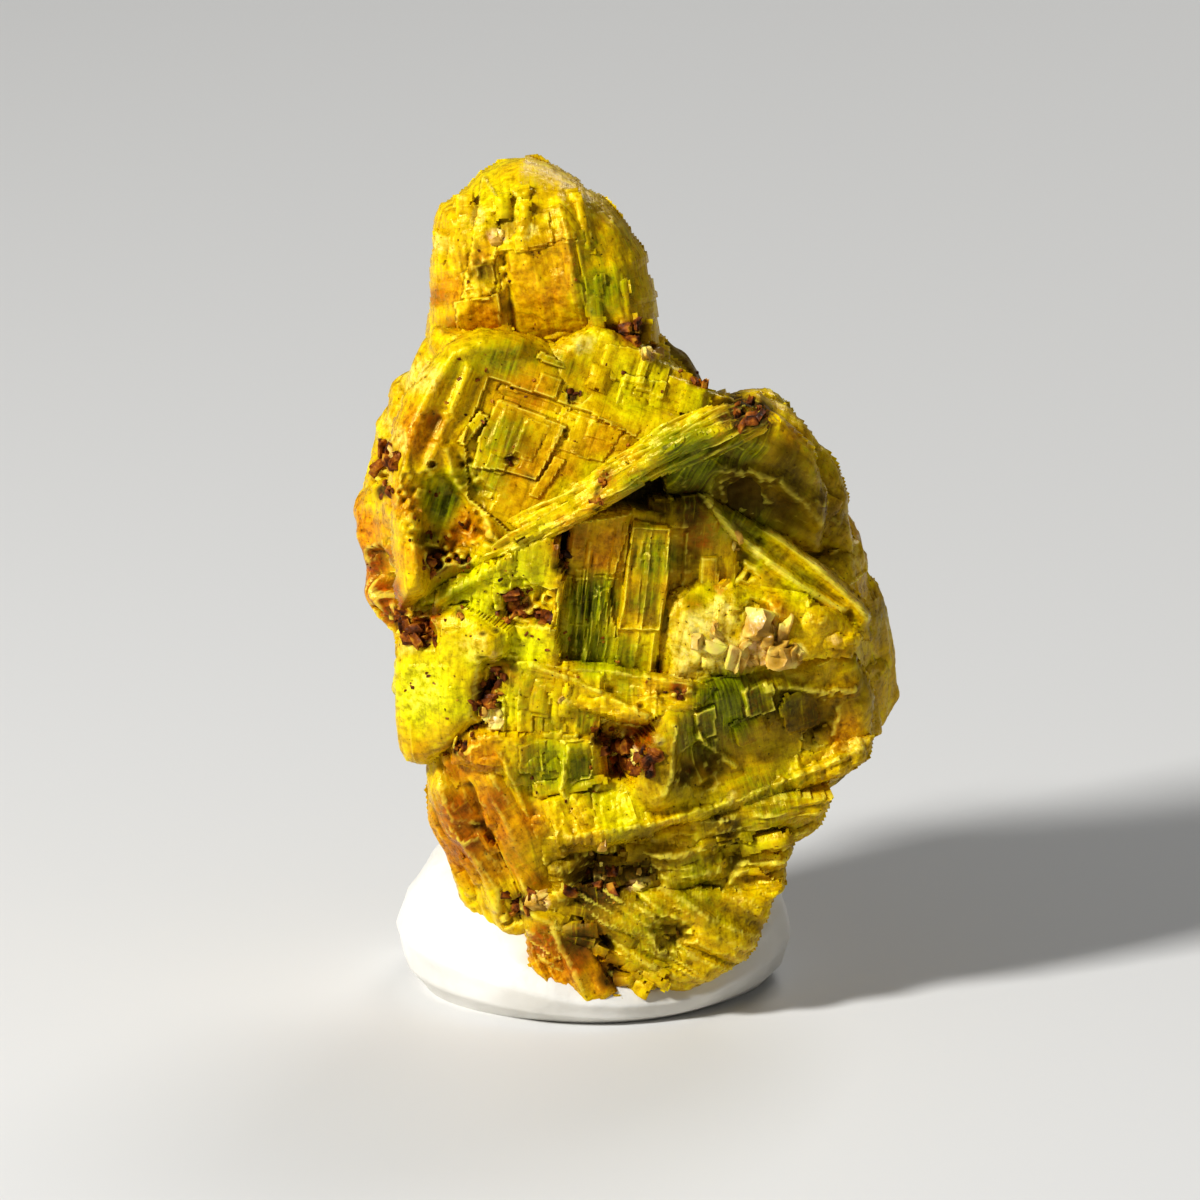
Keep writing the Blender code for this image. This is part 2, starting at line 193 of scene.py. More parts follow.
PLATE = {
    "frame_plate": Crystal(
        (-0.85, -3.0, 11.55), (2, 14), -17, pitch=CRISP, deep=3.2, rounded=(0.7, 0.6), sheet=0.015, swell=0.05,
        flat=0.7, slivers=6, grain=0.006, layers=0.1,
        outline=((478, 327), (512, 331), (542, 338), (562, 352), (584, 378), (640, 398), (684, 414), (712, 432),
                 (660, 468), (620, 495), (580, 520), (540, 545), (500, 566), (440, 592), (400, 612), (393, 590),
                 (389, 555), (389, 515), (385, 485), (387, 455), (393, 425), (403, 395), (425, 365), (441, 346),
                 (458, 333)),
        marks=(("ridge", ((409, 590), (404, 540), (402, 495), (405, 455), (414, 418), (432, 380), (452, 352),
                          (480, 342), (515, 345)), 0.30, 0.42),
               ("ridge", ((424, 600), (416, 560), (416, 520), (424, 480), (438, 440), (455, 400), (468, 372)),
                0.16, 0.22),
               ("ridge", ((446, 452), (452, 474), (468, 500), (484, 520), (497, 545)), 0.12, 0.20),
               ("bowl", (448, 515), 0.75, 0.42), ("bowl", (466, 548), 0.4, 0.22),
               ("bowl", (440, 428), 0.30, 0.10), ("bowl", (431, 465), 0.10, 0.16),
               ("sheet", ((487, 378), (582, 408), (640, 440), (520, 540), (468, 500), (462, 440)), -0.13, 0.02),
               ("sheet", ((497, 383), (578, 408), (574, 418), (494, 392)), -0.05, 0.01),
               ("sheet", ((503, 389), (560, 405), (556, 418), (500, 402)), -0.05, 0.015),
               ("sheet", ((496, 399), (564, 423), (534, 481), (500, 470), (470, 470), (476, 440)), 0.12, 0.012),
               ("sheet", ((502, 408), (522, 415), (505, 452), (484, 447)), 0.03, 0.01),
               ("sheet", ((526, 416), (548, 424), (528, 462), (508, 456)), 0.05, 0.01),
               ("sheet", ((477, 412), (487, 417), (462, 448), (455, 443)), 0.16, 0.01),
               ("sheet", ((488, 454), (508, 460), (500, 476), (482, 469)), 0.06, 0.01),
               ("sheet", ((552, 455), (563, 459), (538, 500), (528, 497)), 0.07, 0.01),
               ("sheet", ((563, 407), (622, 428), (600, 462), (548, 446)), 0.07, 0.02),
               ("sheet", ((590, 412), (640, 428), (626, 446), (584, 432)), 0.05, 0.02),
               ("sheet", ((538, 350), (574, 366), (572, 372), (534, 358)), 0.16, 0.01),
               ("sheet", ((540, 372), (560, 379), (552, 398), (532, 391)), 0.08, 0.01),
               ("bowl", (575, 395), 0.13, 0.30), ("bowl", (511, 461), 0.11, 0.12), ("bowl", (563, 433), 0.05, 0.08),
               ("bowl", (437, 566), 0.16, 0.22), ("bowl", (462, 566), 0.10, 0.18))),
    "left_shelf": Crystal(
        (-3.6, -1.2, 11.6), (-58, 10), -16, deep=2.0, rounded=(0.6, 0.35), swell=0.18, fibres=(70, 0.3, 0.05),
        outline=((427, 318), (406, 341), (399, 364), (385, 376), (381, 400), (372, 420), (363, 442), (357, 465),
                 (353, 485), (343, 498), (391, 510), (440, 470), (455, 400), (460, 340)),
        marks=(("bowl", (388, 462), 0.34, 0.35), ("bowl", (384, 492), 0.28, 0.35))),
    "left_lobe": Crystal(
        (-4.25, -1.4, 9.05), (-56, -2), 7, deep=2.2, rounded=(0.7, 0.4), swell=0.20, flat=0.5,
        outline=((343, 496), (337, 510), (341, 545), (350, 575), (359, 603), (373, 628), (385, 645), (391, 665),
                 (440, 660), (440, 600), (430, 540), (420, 500), (384, 480), (363, 484)),
        marks=(("bowl", (378, 575), 0.5, 0.30), ("bowl", (395, 612), 0.6, 0.40), ("ridge", ((360, 540), (375, 600)),
                                                                                      0.2, 0.12))),
    "left_pit": Crystal(
        (-3.4, -2.9, 7.95), (-24, 0), 0, deep=2.0, rounded=(0.3, 0.2), swell=0.2, sheet=0.03, grain=0.03,
        outline=((395, 600), (430, 590), (450, 610), (446, 640), (430, 660), (398, 660)),
        marks=(("bowl", (424, 632), 0.3, 0.4),)),
    "blade": Crystal(
        (0.74, -4.03, 11.03), (-28, 35), -54, pitch=CRISP, deep=0.5, rounded=(0.10, 0.08), sheet=0.015, swell=0.04,
        fibres=(90, 0.06, 0.06), slivers=6, ragged=0.03, layers=0.0, flat=0.4,
        outline=((504, 523), (522, 511), (548, 499), (566, 483), (588, 474), (608, 457), (640, 436), (668, 418),
                 (700, 409), (735, 403), (764, 407), (769, 421), (735, 431), (700, 440), (668, 452), (640, 470),
                 (612, 491), (588, 508), (562, 526), (535, 538), (508, 550), (478, 564), (498, 543), (518, 530)),
        marks=(("ridge", ((530, 512), (590, 482), (640, 446)), 0.04, 0.06),
               ("ridge", ((540, 532), (600, 494), (660, 450), (730, 424)), 0.04, -0.06),
               ("bowl", (600, 488), 0.12, 0.08), ("bowl", (748, 416), 0.16, 0.12))),
    "blade_underside": Crystal(
        (0.74, -4.03, 11.03), (13, -30), -56, pitch=CRISP, deep=0.4, rounded=(0.08, 0.06), sheet=0.015, swell=0.04,
        fibres=(90, 0.09, 0.06), slivers=6, ragged=0.03, layers=0.0, flat=0.4,
        outline=((560, 527), (588, 507), (612, 490), (640, 469), (668, 451), (700, 439), (735, 430), (769, 420),
                 (766, 436), (735, 452), (700, 466), (660, 480), (630, 492), (600, 508), (575, 526)),
        marks=(("ridge", ((600, 508), (660, 470), (740, 440)), 0.05, -0.08),)),
    "blade_root": Crystal(
        (0.74, -3.75, 11.0), (0, 15), -60, deep=1.8, rounded=(0.1, 0.08), fibres=(90, 0.1, 0.05), layers=0.0,
        outline=((508, 540), (566, 500), (610, 468), (668, 432), (735, 414), (758, 416), (755, 440), (700, 462),
                 (650, 480), (600, 504), (560, 528))),
}

SHOULDER = {
    "shoulder_top": Crystal(
        (2.9, -0.7, 11.75), (24, 46), -10, deep=3.0, rounded=(0.7, 0.4), swell=0.16,
        outline=((668, 362), (700, 386), (728, 391), (745, 384), (770, 380), (787, 390), (802, 412), (810, 450),
                 (740, 455), (690, 430))),
    "shoulder": Crystal(
        (3.3, -1.8, 10.5), (22, 12), -34, deep=3.4, rounded=(0.6, 0.4), sheet=0.03, swell=0.22,
        fibres=(80, 0.5, 0.06),
        outline=((690, 425), (765, 395), (799, 408), (816, 430), (834, 450), (848, 472), (858, 500), (862, 560),
                 (790, 575), (720, 510)),
        marks=(("bowl", (745, 492), 0.7, 0.4), ("ridge", ((700, 440), (760, 440), (800, 470)), 0.2, 0.15),
               ("ridge", ((760, 480), (800, 500), (850, 530)), 0.16, 0.14))),
    "fold": Crystal(
        (2.9, -2.3, 10.2), (14, -10), -30, deep=2.0, rounded=(0.4, 0.3), sheet=0.03, swell=0.16,
        fibres=(0, 0.35, 0.08),
        outline=((664, 455), (735, 425), (785, 425), (815, 455), (830, 500), (825, 560), (790, 560), (740, 525),
                 (700, 505), (668, 500)),
        marks=(("ridge", ((720, 470), (780, 480), (820, 520)), 0.16, 0.16), ("bowl", (745, 495), 0.4, 0.2))),
    "shoulder_rim": Crystal(
        (4.5, -0.8, 9.75), (54, 12), -20, deep=3.4, rounded=(0.8, 0.5), sheet=0.03, swell=0.2,
        fibres=(75, 0.5, 0.07),
        outline=((790, 402), (822, 436), (845, 466), (859, 495), (864, 530), (868, 560), (878, 600), (820, 625),
                 (795, 560), (780, 450))),
    "green_edge": Crystal(
        (3.7, -2.6, 8.6), (12, 12), -38, deep=2.8, rounded=(0.3, 0.25), sheet=0.03, swell=0.14,
        fibres=(0, 0.3, 0.06),
        outline=((688, 492), (712, 497), (748, 518), (792, 543), (832, 573), (864, 606), (874, 645), (820, 645),
                 (770, 605), (720, 585), (690, 560), (672, 520)),
        marks=(("ridge", ((702, 496), (735, 535), (762, 557), (800, 588), (840, 612)), 0.12, 0.30),
               ("ridge", ((772, 535), (806, 562), (842, 595), (866, 620)), 0.14, 0.34),
               ("bowl", (735, 560), 0.4, 0.25))),
    "pebbled_face": Crystal(
        (3.1, -3.1, 7.9), (6, 10), -12, deep=1.8, rounded=(0.3, 0.25), sheet=0.03, swell=0.2, grain=0.02,
        outline=((664, 600), (700, 578), (745, 588), (800, 600), (838, 614), (866, 640), (852, 664), (815, 662),
                 (760, 674), (700, 688), (668, 682)),
        marks=(("ridge", ((700, 640), (735, 618)), 0.3, 0.14), ("ridge", ((682, 668), (745, 640)), 0.16, 0.12),
               ("bowl", (760, 615), 0.3, 0.14))),
    "right_flank": Crystal(
        (5.5, -0.9, 6.9), (62, -2), 5, deep=3.0, rounded=(0.9, 0.5), sheet=0.03, swell=0.2, fibres=(85, 0.5, 0.06),
        outline=((874, 540), (884, 575), (896, 605), (904, 640), (908, 670), (904, 702), (894, 732), (878, 758),
                 (856, 782), (826, 795), (815, 740), (815, 660), (835, 580))),
}

WINDOWS = {
    "window": Crystal(
        (0.9, -3.1, 8.7), (5, -3), -7, pitch=CRISP, ragged=0.015, deep=2.8, rounded=(0.12, 0.08), sheet=0.03, swell=0.04,
        fibres=(90, 0.09, 0.035), slivers=8, flat=0.6, grain=0.006,
        outline=((572, 522), (602, 514), (634, 511), (668, 517), (670, 590), (674, 682), (600, 692), (556, 682),
                 (560, 600), (566, 560)),
        marks=(("sheet", ((566, 522), (632, 512), (628, 574), (566, 574)), 0.05, 0.02),
               ("sheet", ((578, 575), (592, 574), (586, 675), (572, 675)), 0.06, 0.012),
               ("sheet", ((598, 590), (612, 590), (592, 640), (588, 675), (580, 660)), 0.06, 0.015),
               ("sheet", ((620, 560), (632, 524), (630, 600), (617, 640), (612, 600)), -0.10, 0.02),
               ("sheet", ((560, 600), (570, 600), (566, 680), (556, 680)), 0.05, 0.012),
               ("ridge", ((572, 576), (569, 640), (567, 682)), 0.02, 0.045),
               ("ridge", ((579, 582), (576, 680)), 0.02, 0.04), ("ridge", ((588, 572), (584, 640)), 0.02, 0.045),
               ("ridge", ((594, 596), (589, 682)), 0.02, 0.045), ("ridge", ((602, 586), (598, 660)), 0.02, 0.045),
               ("ridge", ((609, 600), (605, 684)), 0.02, 0.04), ("ridge", ((571, 625), (588, 624)), 0.02, 0.04),
               ("ridge", ((560, 578), (600, 576), (622, 582)), 0.02, 0.04),
               ("ridge", ((566, 524), (632, 513)), 0.025, 0.05), ("ridge", ((664, 520), (672, 680)), 0.02, 0.05))),
    "window_strip": Crystal(
        (1.35, -3.3, 8.8), (6, -2), -7, pitch=CRISP, deep=1.4, rounded=(0.04, 0.04), sheet=0.03, swell=0.02,
        fibres=(90, 0.10, 0.02), slivers=4, flat=0.6, ragged=0.012, grain=0.006,
        outline=((633, 523), (674, 529), (669, 580), (663, 632), (655, 679), (616, 674), (617, 634), (624, 600),
                 (631, 560)),
        marks=(("sheet", ((637, 528), (670, 532), (659, 628), (625, 626)), -0.03, 0.01),
               ("sheet", ((612, 633), (664, 631), (656, 681), (612, 676)), -0.03, 0.01),
               ("ridge", ((635, 527), (672, 531), (668, 580), (660, 630), (620, 630), (628, 590), (635, 527)),
                0.022, 0.05),
               ("ridge", ((654, 528), (650, 580), (643, 628)), 0.02, 0.04),
               ("ridge", ((644, 560), (638, 625)), 0.02, 0.03), ("ridge", ((618, 634), (616, 674)), 0.02, 0.04),
               ("ridge", ((640, 634), (634, 676)), 0.02, 0.03), ("ridge", ((656, 634), (650, 678)), 0.02, 0.04))),
    "window_right": Crystal(
        (2.1, -2.9, 8.95), (14, 0), -4, deep=2.2, rounded=(0.2, 0.15), sheet=0.025, swell=0.12, slivers=10,
        fibres=(90, 0.3, 0.05),
        outline=((655, 508), (700, 500), (738, 535), (745, 600), (705, 645), (660, 684), (655, 600)),
        marks=(("sheet", ((672, 530), (690, 530), (686, 580), (668, 620)), -0.08, 0.04),
               ("sheet", ((705, 560), (722, 560), (722, 600), (702, 620)), 0.10, 0.03))),
    "left_middle": Crystal(
        (-1.8, -3.6, 8.5), (-10, -4), -8, pitch=CRISP, square=True, deep=2.8, rounded=(0.15, 0.10), sheet=0.032, swell=0.07,
        slivers=10, fibres=(84, 0.12, 0.03), grain=0.012,
        outline=((436, 592), (470, 578), (515, 552), (548, 536), (557, 545), (555, 570), (563, 580), (561, 612),
                 (557, 630), (557, 672), (520, 670), (480, 664), (440, 655), (428, 625)),
        marks=(("sheet", ((500, 560), (515, 556), (512, 600), (498, 640), (494, 600)), 0.05, 0.02),
               ("sheet", ((500, 598), (558, 590), (557, 628), (506, 624)), -0.16, 0.08),
               ("bowl", (520, 604), 0.34, 0.20), ("bowl", (544, 617), 0.20, 0.16), ("bowl", (461, 611), 0.14, 0.20),
               ("bowl", (507, 614), 0.18, 0.14), ("bowl", (479, 636), 0.07, 0.12), ("bowl", (492, 632), 0.08, 0.12),
               ("sheet", ((484, 560), (520, 548), (516, 575), (480, 585)), 0.05, 0.03),
               ("ridge", ((440, 600), (468, 588), (500, 565)), 0.12, 0.12))),
    "left_low": Crystal(
        (-2.95, -3.6, 6.65), (-20, -4), 3, pitch=CRISP, deep=2.4, rounded=(0.45, 0.3), sheet=0.03, swell=0.08,
        slivers=5, flat=0.45, worn=1, grain=0.008,
        outline=((393, 630), (409, 622), (450, 616), (478, 625), (500, 640), (497, 666), (480, 674), (475, 700),
                 (480, 722), (464, 735), (446, 754), (417, 770), (402, 768), (395, 754), (390, 722), (388, 690),
                 (390, 655)),
        marks=(("bowl", (423, 634), 0.2, 0.34), ("sheet", ((478, 660), (520, 660), (520, 730), (472, 730)), -0.2, 0.08),
               ("ridge", ((450, 640), (452, 740)), 0.3, 0.06), ("bowl", (412, 640), 0.06, 0.1),
               ("sheet", ((470, 640), (500, 640), (495, 668), (476, 668)), 0.04, 0.05))),
    "low_middle": Crystal(
        (-0.8, -3.75, 6.4), (-3, 2), -4, pitch=CRISP, square=True, deep=2.4, rounded=(0.15, 0.12), sheet=0.025, swell=0.08,
        slivers=8, fibres=(88, 0.14, 0.05), grain=0.014,
        outline=((476, 668), (520, 664), (560, 668), (604, 676), (602, 702), (596, 730), (591, 743), (560, 746),
                 (530, 738), (500, 735), (478, 722), (474, 695)),
        marks=(("bowl", (487, 690), 0.26, 0.36), ("bowl", (482, 702), 0.16, 0.30),
               ("sheet", ((478, 702), (505, 700), (505, 732), (478, 732)), 0.10, 0.04),
               ("sheet", ((520, 690), (536, 688), (532, 738), (516, 738)), 0.07, 0.02),
               ("sheet", ((545, 706), (562, 706), (560, 734), (543, 734)), -0.08, 0.015),
               ("sheet", ((566, 706), (580, 706), (578, 736), (564, 736)), -0.10, 0.015),
               ("sheet", ((580, 700), (604, 700), (600, 748), (578, 748)), -0.14, 0.02))),
    "fan": Crystal(
        (0.3, -3.75, 6.98), (0, 30), 0, pitch=CRISP, deep=1.2, rounded=(0.12, 0.10), sheet=0.03, swell=0.05,
        fibres=(-8, 0.10, 0.05), ragged=0.04,
        outline=((494, 664), (560, 660), (620, 666), (670, 672), (716, 684), (702, 700), (674, 710), (645, 722),
                 (610, 716), (575, 706), (540, 690), (505, 680)),
        marks=(("ridge", ((520, 666), (600, 672), (660, 680), (690, 684)), 0.09, 0.16),
               ("ridge", ((533, 670), (580, 684), (615, 700), (645, 717)), 0.09, 0.18),
               ("bowl", (625, 690), 0.36, 0.14), ("bowl", (665, 694), 0.2, 0.10),
               ("ridge", ((640, 700), (690, 690)), 0.05, 0.08))),
}

LOWER = {
    "right_low": Crystal(
        (3.7, -3.0, 5.8), (20, -6), 14, deep=3.4, rounded=(0.4, 0.25), sheet=0.03, swell=0.2, slivers=10,
        outline=((664, 706), (700, 690), (760, 674), (815, 662), (856, 660), (876, 700), (872, 748), (820, 790),
                 (740, 816), (700, 820), (640, 820), (630, 800), (650, 740)),
        marks=(("sheet", ((692, 710), (714, 703), (718, 735), (698, 740)), 0.16, 0.02),
               ("ridge", ((698, 736), (715, 752), (738, 768)), 0.07, 0.16),
               ("ridge", ((672, 724), (668, 770), (660, 790)), 0.12, 0.14),
               ("bowl", (700, 765), 0.45, 0.25), ("sheet", ((745, 690), (775, 684), (778, 712), (748, 718)), 0.1, 0.03),
               ("ridge", ((770, 690), (850, 690)), 0.12, 0.14), ("bowl", (820, 720), 0.4, 0.2))),
    "ledge": Crystal(
        (2.2, -3.3, 4.7), (8, 22), 18, pitch=CRISP, deep=2.0, rounded=(0.16, 0.16), sheet=0.03, swell=0.12,
        fibres=(76, 0.18, 0.07), slivers=10, ragged=0.06, layers=0.7,
        outline=((540, 800), (580, 790), (640, 785), (700, 780), (740, 768), (800, 748), (850, 736), (876, 733),
                 (868, 757), (846, 772), (800, 786), (740, 808), (700, 820), (650, 835), (600, 846), (556, 852)),
        marks=(("ridge", ((570, 840), (650, 826), (740, 800), (860, 748)), 0.08, 0.12),
               ("bowl", (720, 785), 0.2, 0.12))),
    "under_band": Crystal(
        (-0.1, -3.65, 4.95), (-2, -14), 4, pitch=CRISP, deep=3.0, rounded=(0.3, 0.2), sheet=0.03, swell=0.16,
        fibres=(80, 0.35, 0.08), slivers=10, grain=0.018,
        outline=((476, 738), (500, 734), (560, 744), (592, 742), (602, 760), (604, 785), (640, 795), (660, 812),
                 (640, 840), (600, 850), (570, 854), (546, 870), (535, 860), (520, 820), (500, 782), (450, 770),
                 (455, 745)),
        marks=(("ridge", ((568, 750), (560, 790), (572, 805), (598, 790)), 0.08, 0.14),
               ("ridge", ((500, 750), (520, 800), (545, 860)), 0.10, 0.12),
               ("sheet", ((520, 745), (545, 745), (542, 775), (518, 772)), 0.06, 0.03),
               ("sheet", ((565, 745), (592, 745), (590, 780), (566, 785)), -0.08, 0.03),
               ("bowl", (585, 790), 0.2, 0.12), ("bowl", (462, 748), 0.2, 0.25))),
    "red_pit": Crystal(
        (0.9, -3.0, 5.36), (10, -5), 10, deep=1.6, rounded=(0.2, 0.15), sheet=0.025, swell=0.2, grain=0.03,
        outline=((588, 712), (620, 710), (664, 722), (678, 745), (668, 792), (640, 804), (598, 794), (588, 750)),
        marks=(("bowl", (638, 765), 0.45, 0.4), ("ridge", ((600, 716), (640, 722), (660, 745)), 0.10, 0.18),
               ("ridge", ((628, 748), (634, 764)), 0.11, 0.3), ("bowl", (604, 738), 0.3, 0.3))),
    "lower_left": Crystal(
        (-1.75, -3.0, 3.2), (-24, -16), 26, pitch=PLAIN, deep=2.4, rounded=(0.5, 0.4), sheet=0.025, swell=0.12,
        fibres=(88, 0.28, 0.12), slivers=6, flat=0.6,
        outline=((423, 792), (421, 768), (431, 748), (465, 745), (502, 770), (522, 802), (538, 846), (552, 896),
                 (548, 920), (528, 940), (505, 942), (473, 925), (455, 904), (437, 852), (425, 822)),
        marks=(("ridge", ((446, 785), (470, 840), (500, 900)), 0.2, 0.12),
               ("ridge", ((490, 780), (515, 840), (535, 890)), 0.2, 0.12),
               ("ridge", ((470, 790), (490, 840), (515, 895)), 0.12, -0.20),
               ("bowl", (474, 828), 0.18, 0.16), ("bowl", (518, 905), 0.3, 0.3))),
    "foot_upper": Crystal(
        (1.9, -3.05, 3.1), (6, -14), 9, deep=3.4, rounded=(0.4, 0.3), sheet=0.03, swell=0.24, slivers=12,
        fibres=(-4, 0.16, 0.10), layers=0.6,
        outline=((545, 868), (600, 850), (640, 838), (700, 820), (740, 808), (800, 798), (838, 798), (824, 834),
                 (797, 853), (789, 868), (786, 892), (740, 910), (700, 912), (640, 910), (600, 915), (555, 905)),
        marks=(("bowl", (610, 890), 0.8, 0.45), ("ridge", ((660, 850), (720, 872), (780, 862)), 0.24, 0.14),
               ("ridge", ((650, 872), (700, 896), (780, 888)), 0.24, 0.14), ("bowl", (730, 866), 0.2, 0.14))),
    "foot_lower": Crystal(
        (1.4, -3.4, 1.75), (2, -2), 7, deep=3.4, rounded=(0.5, 0.35), sheet=0.03, swell=0.22, slivers=12,
        fibres=(-35, 0.18, 0.12), layers=0.6,
        outline=((520, 905), (560, 886), (600, 894), (660, 888), (740, 892), (784, 890), (768, 924), (746, 962),
                 (702, 992), (660, 1009), (610, 1011), (575, 1009), (554, 993), (540, 973), (525, 930)),
        marks=(("ridge", ((620, 900), (660, 950), (700, 970)), 0.24, 0.10),
               ("ridge", ((575, 905), (620, 970)), 0.14, -0.26), ("bowl", (670, 930), 0.3, 0.2))),
    "spur": Crystal(
        (0.0, -3.62, 1.7), (-8, 4), 30, deep=2.4, rounded=(0.3, 0.25), sheet=0.025, swell=0.15,
        fibres=(88, 0.25, 0.12),
        outline=((522, 925), (542, 902), (572, 905), (596, 961), (618, 994), (598, 1010), (568, 1008), (548, 990),
                 (531, 966)),
        marks=(("ridge", ((545, 915), (580, 975)), 0.24, 0.10),)),
    "low_left_flank": Crystal((-2.6, -0.6, 4.6), (-80, -14), 16, size=(3.4, 3.8), cuts=(0.7, 0.7, 0.8, 0.8),
                              sheet=0.03, swell=0.25, fibres=(90, 0.4, 0.1)),
    "low_right_flank": Crystal((4.9, -0.9, 4.95), (62, -24), 8, size=(3.6, 3.2), cuts=(0.8, 0.6, 0.8, 0.9),
                               deep=3.2, sheet=0.03, swell=0.25, fibres=(0, 0.4, 0.08)),
}

REAR = {
    "back_top": Crystal((-0.7, 2.5, 11.0), (176, 10), 14, size=(3.6, 4.0), cuts=(0.9, 1.0, 0.6, 0.7), deep=3.0),
    "back_middle": Crystal((0.9, 3.4, 8.2), (184, -3), -16, size=(6.6, 4.8), cuts=(0.9, 0.8, 0.9, 0.9), deep=3.6),
    "back_left": Crystal((-3.6, 1.3, 8.0), (-108, -4), 12, size=(4.2, 5.4), cuts=(0.9, 0.8, 0.8, 0.8), deep=3.0),
    "back_right": Crystal((4.8, 1.6, 7.8), (118, 4), -10, size=(4.2, 5.4), cuts=(0.9, 2.0, 0.8, 1.0), deep=3.2),
    "back_low": Crystal((1.0, 2.6, 5.0), (178, -22), 10, size=(5.4, 3.6), cuts=(0.8, 0.8, 0.9, 0.9), deep=3.6),
    "back_blade": Crystal((-0.6, 2.9, 9.9), (180, 58), 0, size=(6.0, 2.6), cuts=(0.5, 0.5, 0.7, 0.6), deep=0.6,
                          swell=0.05),
}
for crystal in REAR.values():
    crystal.pitch, crystal.sheet, crystal.rounded, crystal.slivers = 0.06, 0.05, (0.9, 0.5), 14
    crystal.swell, crystal.strips = max(crystal.swell, 0.22), (0.06, 0.25)

# Small crystals strewn on the faces of the larger ones: the larger one, how many, where they look as
# azimuth, elevation and roll, how far that varies, their least and greatest size and their depth
CHIPS = (
    ("foot_upper", 36, (5, 5, 6), (26, 25, 16), (0.5, 0.15), (1.6, 0.4), 0.7),
    ("foot_lower", 28, (0, 5, -12), (26, 25, 20), (0.4, 0.15), (1.4, 0.4), 0.7),
    ("ledge", 8, (6, 10, 16), (14, 16, 8), (0.15, 0.3), (0.5, 0.6), 0.5),
    ("right_low", 5, (18, -4, 12), (10, 10, 8), (0.3, 0.3), (0.9, 0.9), 0.5),
    ("under_band", 18, (-2, -6, 6), (14, 16, 10), (0.3, 0.2), (1.0, 0.45), 0.6),
    ("lower_left", 12, (-24, -14, 24), (12, 10, 8), (0.14, 0.6), (0.35, 1.5), 0.5),
    ("pebbled_face", 24, (6, 10, 0), (25, 25, 45), (0.2, 0.2), (0.55, 0.5), 0.4),
    ("right_flank", 6, (60, 0, 5), (12, 12, 12), (0.4, 0.5), (1.1, 1.3), 0.5),
    ("shoulder_rim", 6, (54, 10, -20), (8, 8, 12), (0.2, 0.25), (0.5, 0.6), 0.4),
    ("shoulder", 7, (22, 12, -34), (12, 12, 12), (0.4, 0.4), (1.0, 1.0), 0.5),
    ("upper_steps", 8, (14, 24, -22), (7, 7, 4), (0.4, 0.3), (0.9, 0.7), 0.4),
    ("left_pit", 34, (-20, 0, 0), (45, 45, 45), (0.1, 0.1), (0.3, 0.3), 0.3),
    ("red_pit", 30, (10, 0, 10), (45, 45, 45), (0.1, 0.1), (0.35, 0.35), 0.3),
    ("low_middle", 9, (-3, 2, -4), (8, 8, 5), (0.2, 0.35), (0.5, 0.9), 0.3),
    ("back_top", 7, (176, 10, 14), (14, 14, 12), (0.5, 0.4), (1.3, 1.2), 0.6),
    ("back_middle", 16, (184, -3, -16), (14, 14, 12), (0.5, 0.4), (1.6, 1.3), 0.6),
    ("back_left", 10, (-108, -4, 12), (14, 14, 12), (0.5, 0.4), (1.3, 1.5), 0.6),
    ("back_right", 10, (118, 4, -10), (5, 5, 12), (0.5, 0.4), (1.3, 1.5), 0.6),
    ("back_low", 10, (178, -22, 10), (14, 14, 12), (0.5, 0.3), (1.5, 0.9), 0.6),
    ("knob_foot", 8, (30, 16, -14), (18, 18, 18), (0.2, 0.2), (0.6, 0.6), 0.4),
    ("knob", 16, (-4, 12, 6), (9, 9, 6), (0.15, 0.4), (0.45, 1.3), 0.4),
)

# Massive hearts that the crystals have grown from: centre, half sizes and tilt
HEARTS = {
    "heart": ((0.5, -0.1, 7.9), (3.3, 2.1, 5.7), 8.0),
    "shoulder_heart": ((3.0, -0.4, 10.4), (1.6, 1.8, 1.5), -20.0),
}

# Shaping of the crystals

# How far one run of broken sheet edges goes before it steps aside, in millimetres
BRICK = (0.08, 0.4)
# How much of a traced sheet's height stands out, and into how many layers a crystal's sides are split
SHEET_SHARE = 0.8
SIDE_LAYERS = 7


def deselect():
    bpy.ops.object.select_all(action="DESELECT")


def only(obj):
    deselect()
    obj.select_set(True)
    bpy.context.view_layer.objects.active = obj


def softened(field, times):
    for _ in range(times):
        wide = np.pad(field, 1, mode="edge")
        field = (wide[:-2, 1:-1] + wide[2:, 1:-1] + wide[1:-1, :-2] + wide[1:-1, 2:] + 2 * field) / 6
    return field


def strips(count, pitch, widths, rng):
    """For each line of the net, the middle line of the strip of crystal that it belongs to."""
    middle = np.empty(count, int)
    start = 0
    while start < count:
        run = max(1, int(rng.uniform(*widths) / pitch))
        middle[start:start + run] = min(count - 1, start + run // 2)
        start += run
    return middle


def squared(crystal, shape, rng):
    """Net indices that make any field step along the two cleavage directions, in bricks."""
    cols, rows = shape
    across, along = np.empty(shape, int), np.empty(shape, int)
    start = 0
    while start < rows:
        run = max(1, int(rng.uniform(*BRICK) / crystal.pitch))
        across[:, start:start + run] = strips(cols, crystal.pitch, crystal.strips, rng)[:, None]
        start += run
    start = 0
    while start < cols:
        run = max(1, int(rng.uniform(*BRICK) / crystal.pitch))
        along[start:start + run, :] = strips(rows, crystal.pitch, crystal.strips, rng)[None, :]
        start += run
    return across, along


def inside_polygon(u, v, corners):
    inside = np.zeros(np.broadcast(u, v).shape, bool)
    for (u0, v0), (u1, v1) in zip(corners, np.roll(corners, -1, axis=0)):
        crosses = (v0 > v) != (v1 > v)
        slope = (u1 - u0) / (v1 - v0 if v1 != v0 else 1e-9)
        inside ^= crosses & (u < u0 + (v - v0) * slope)
    return inside


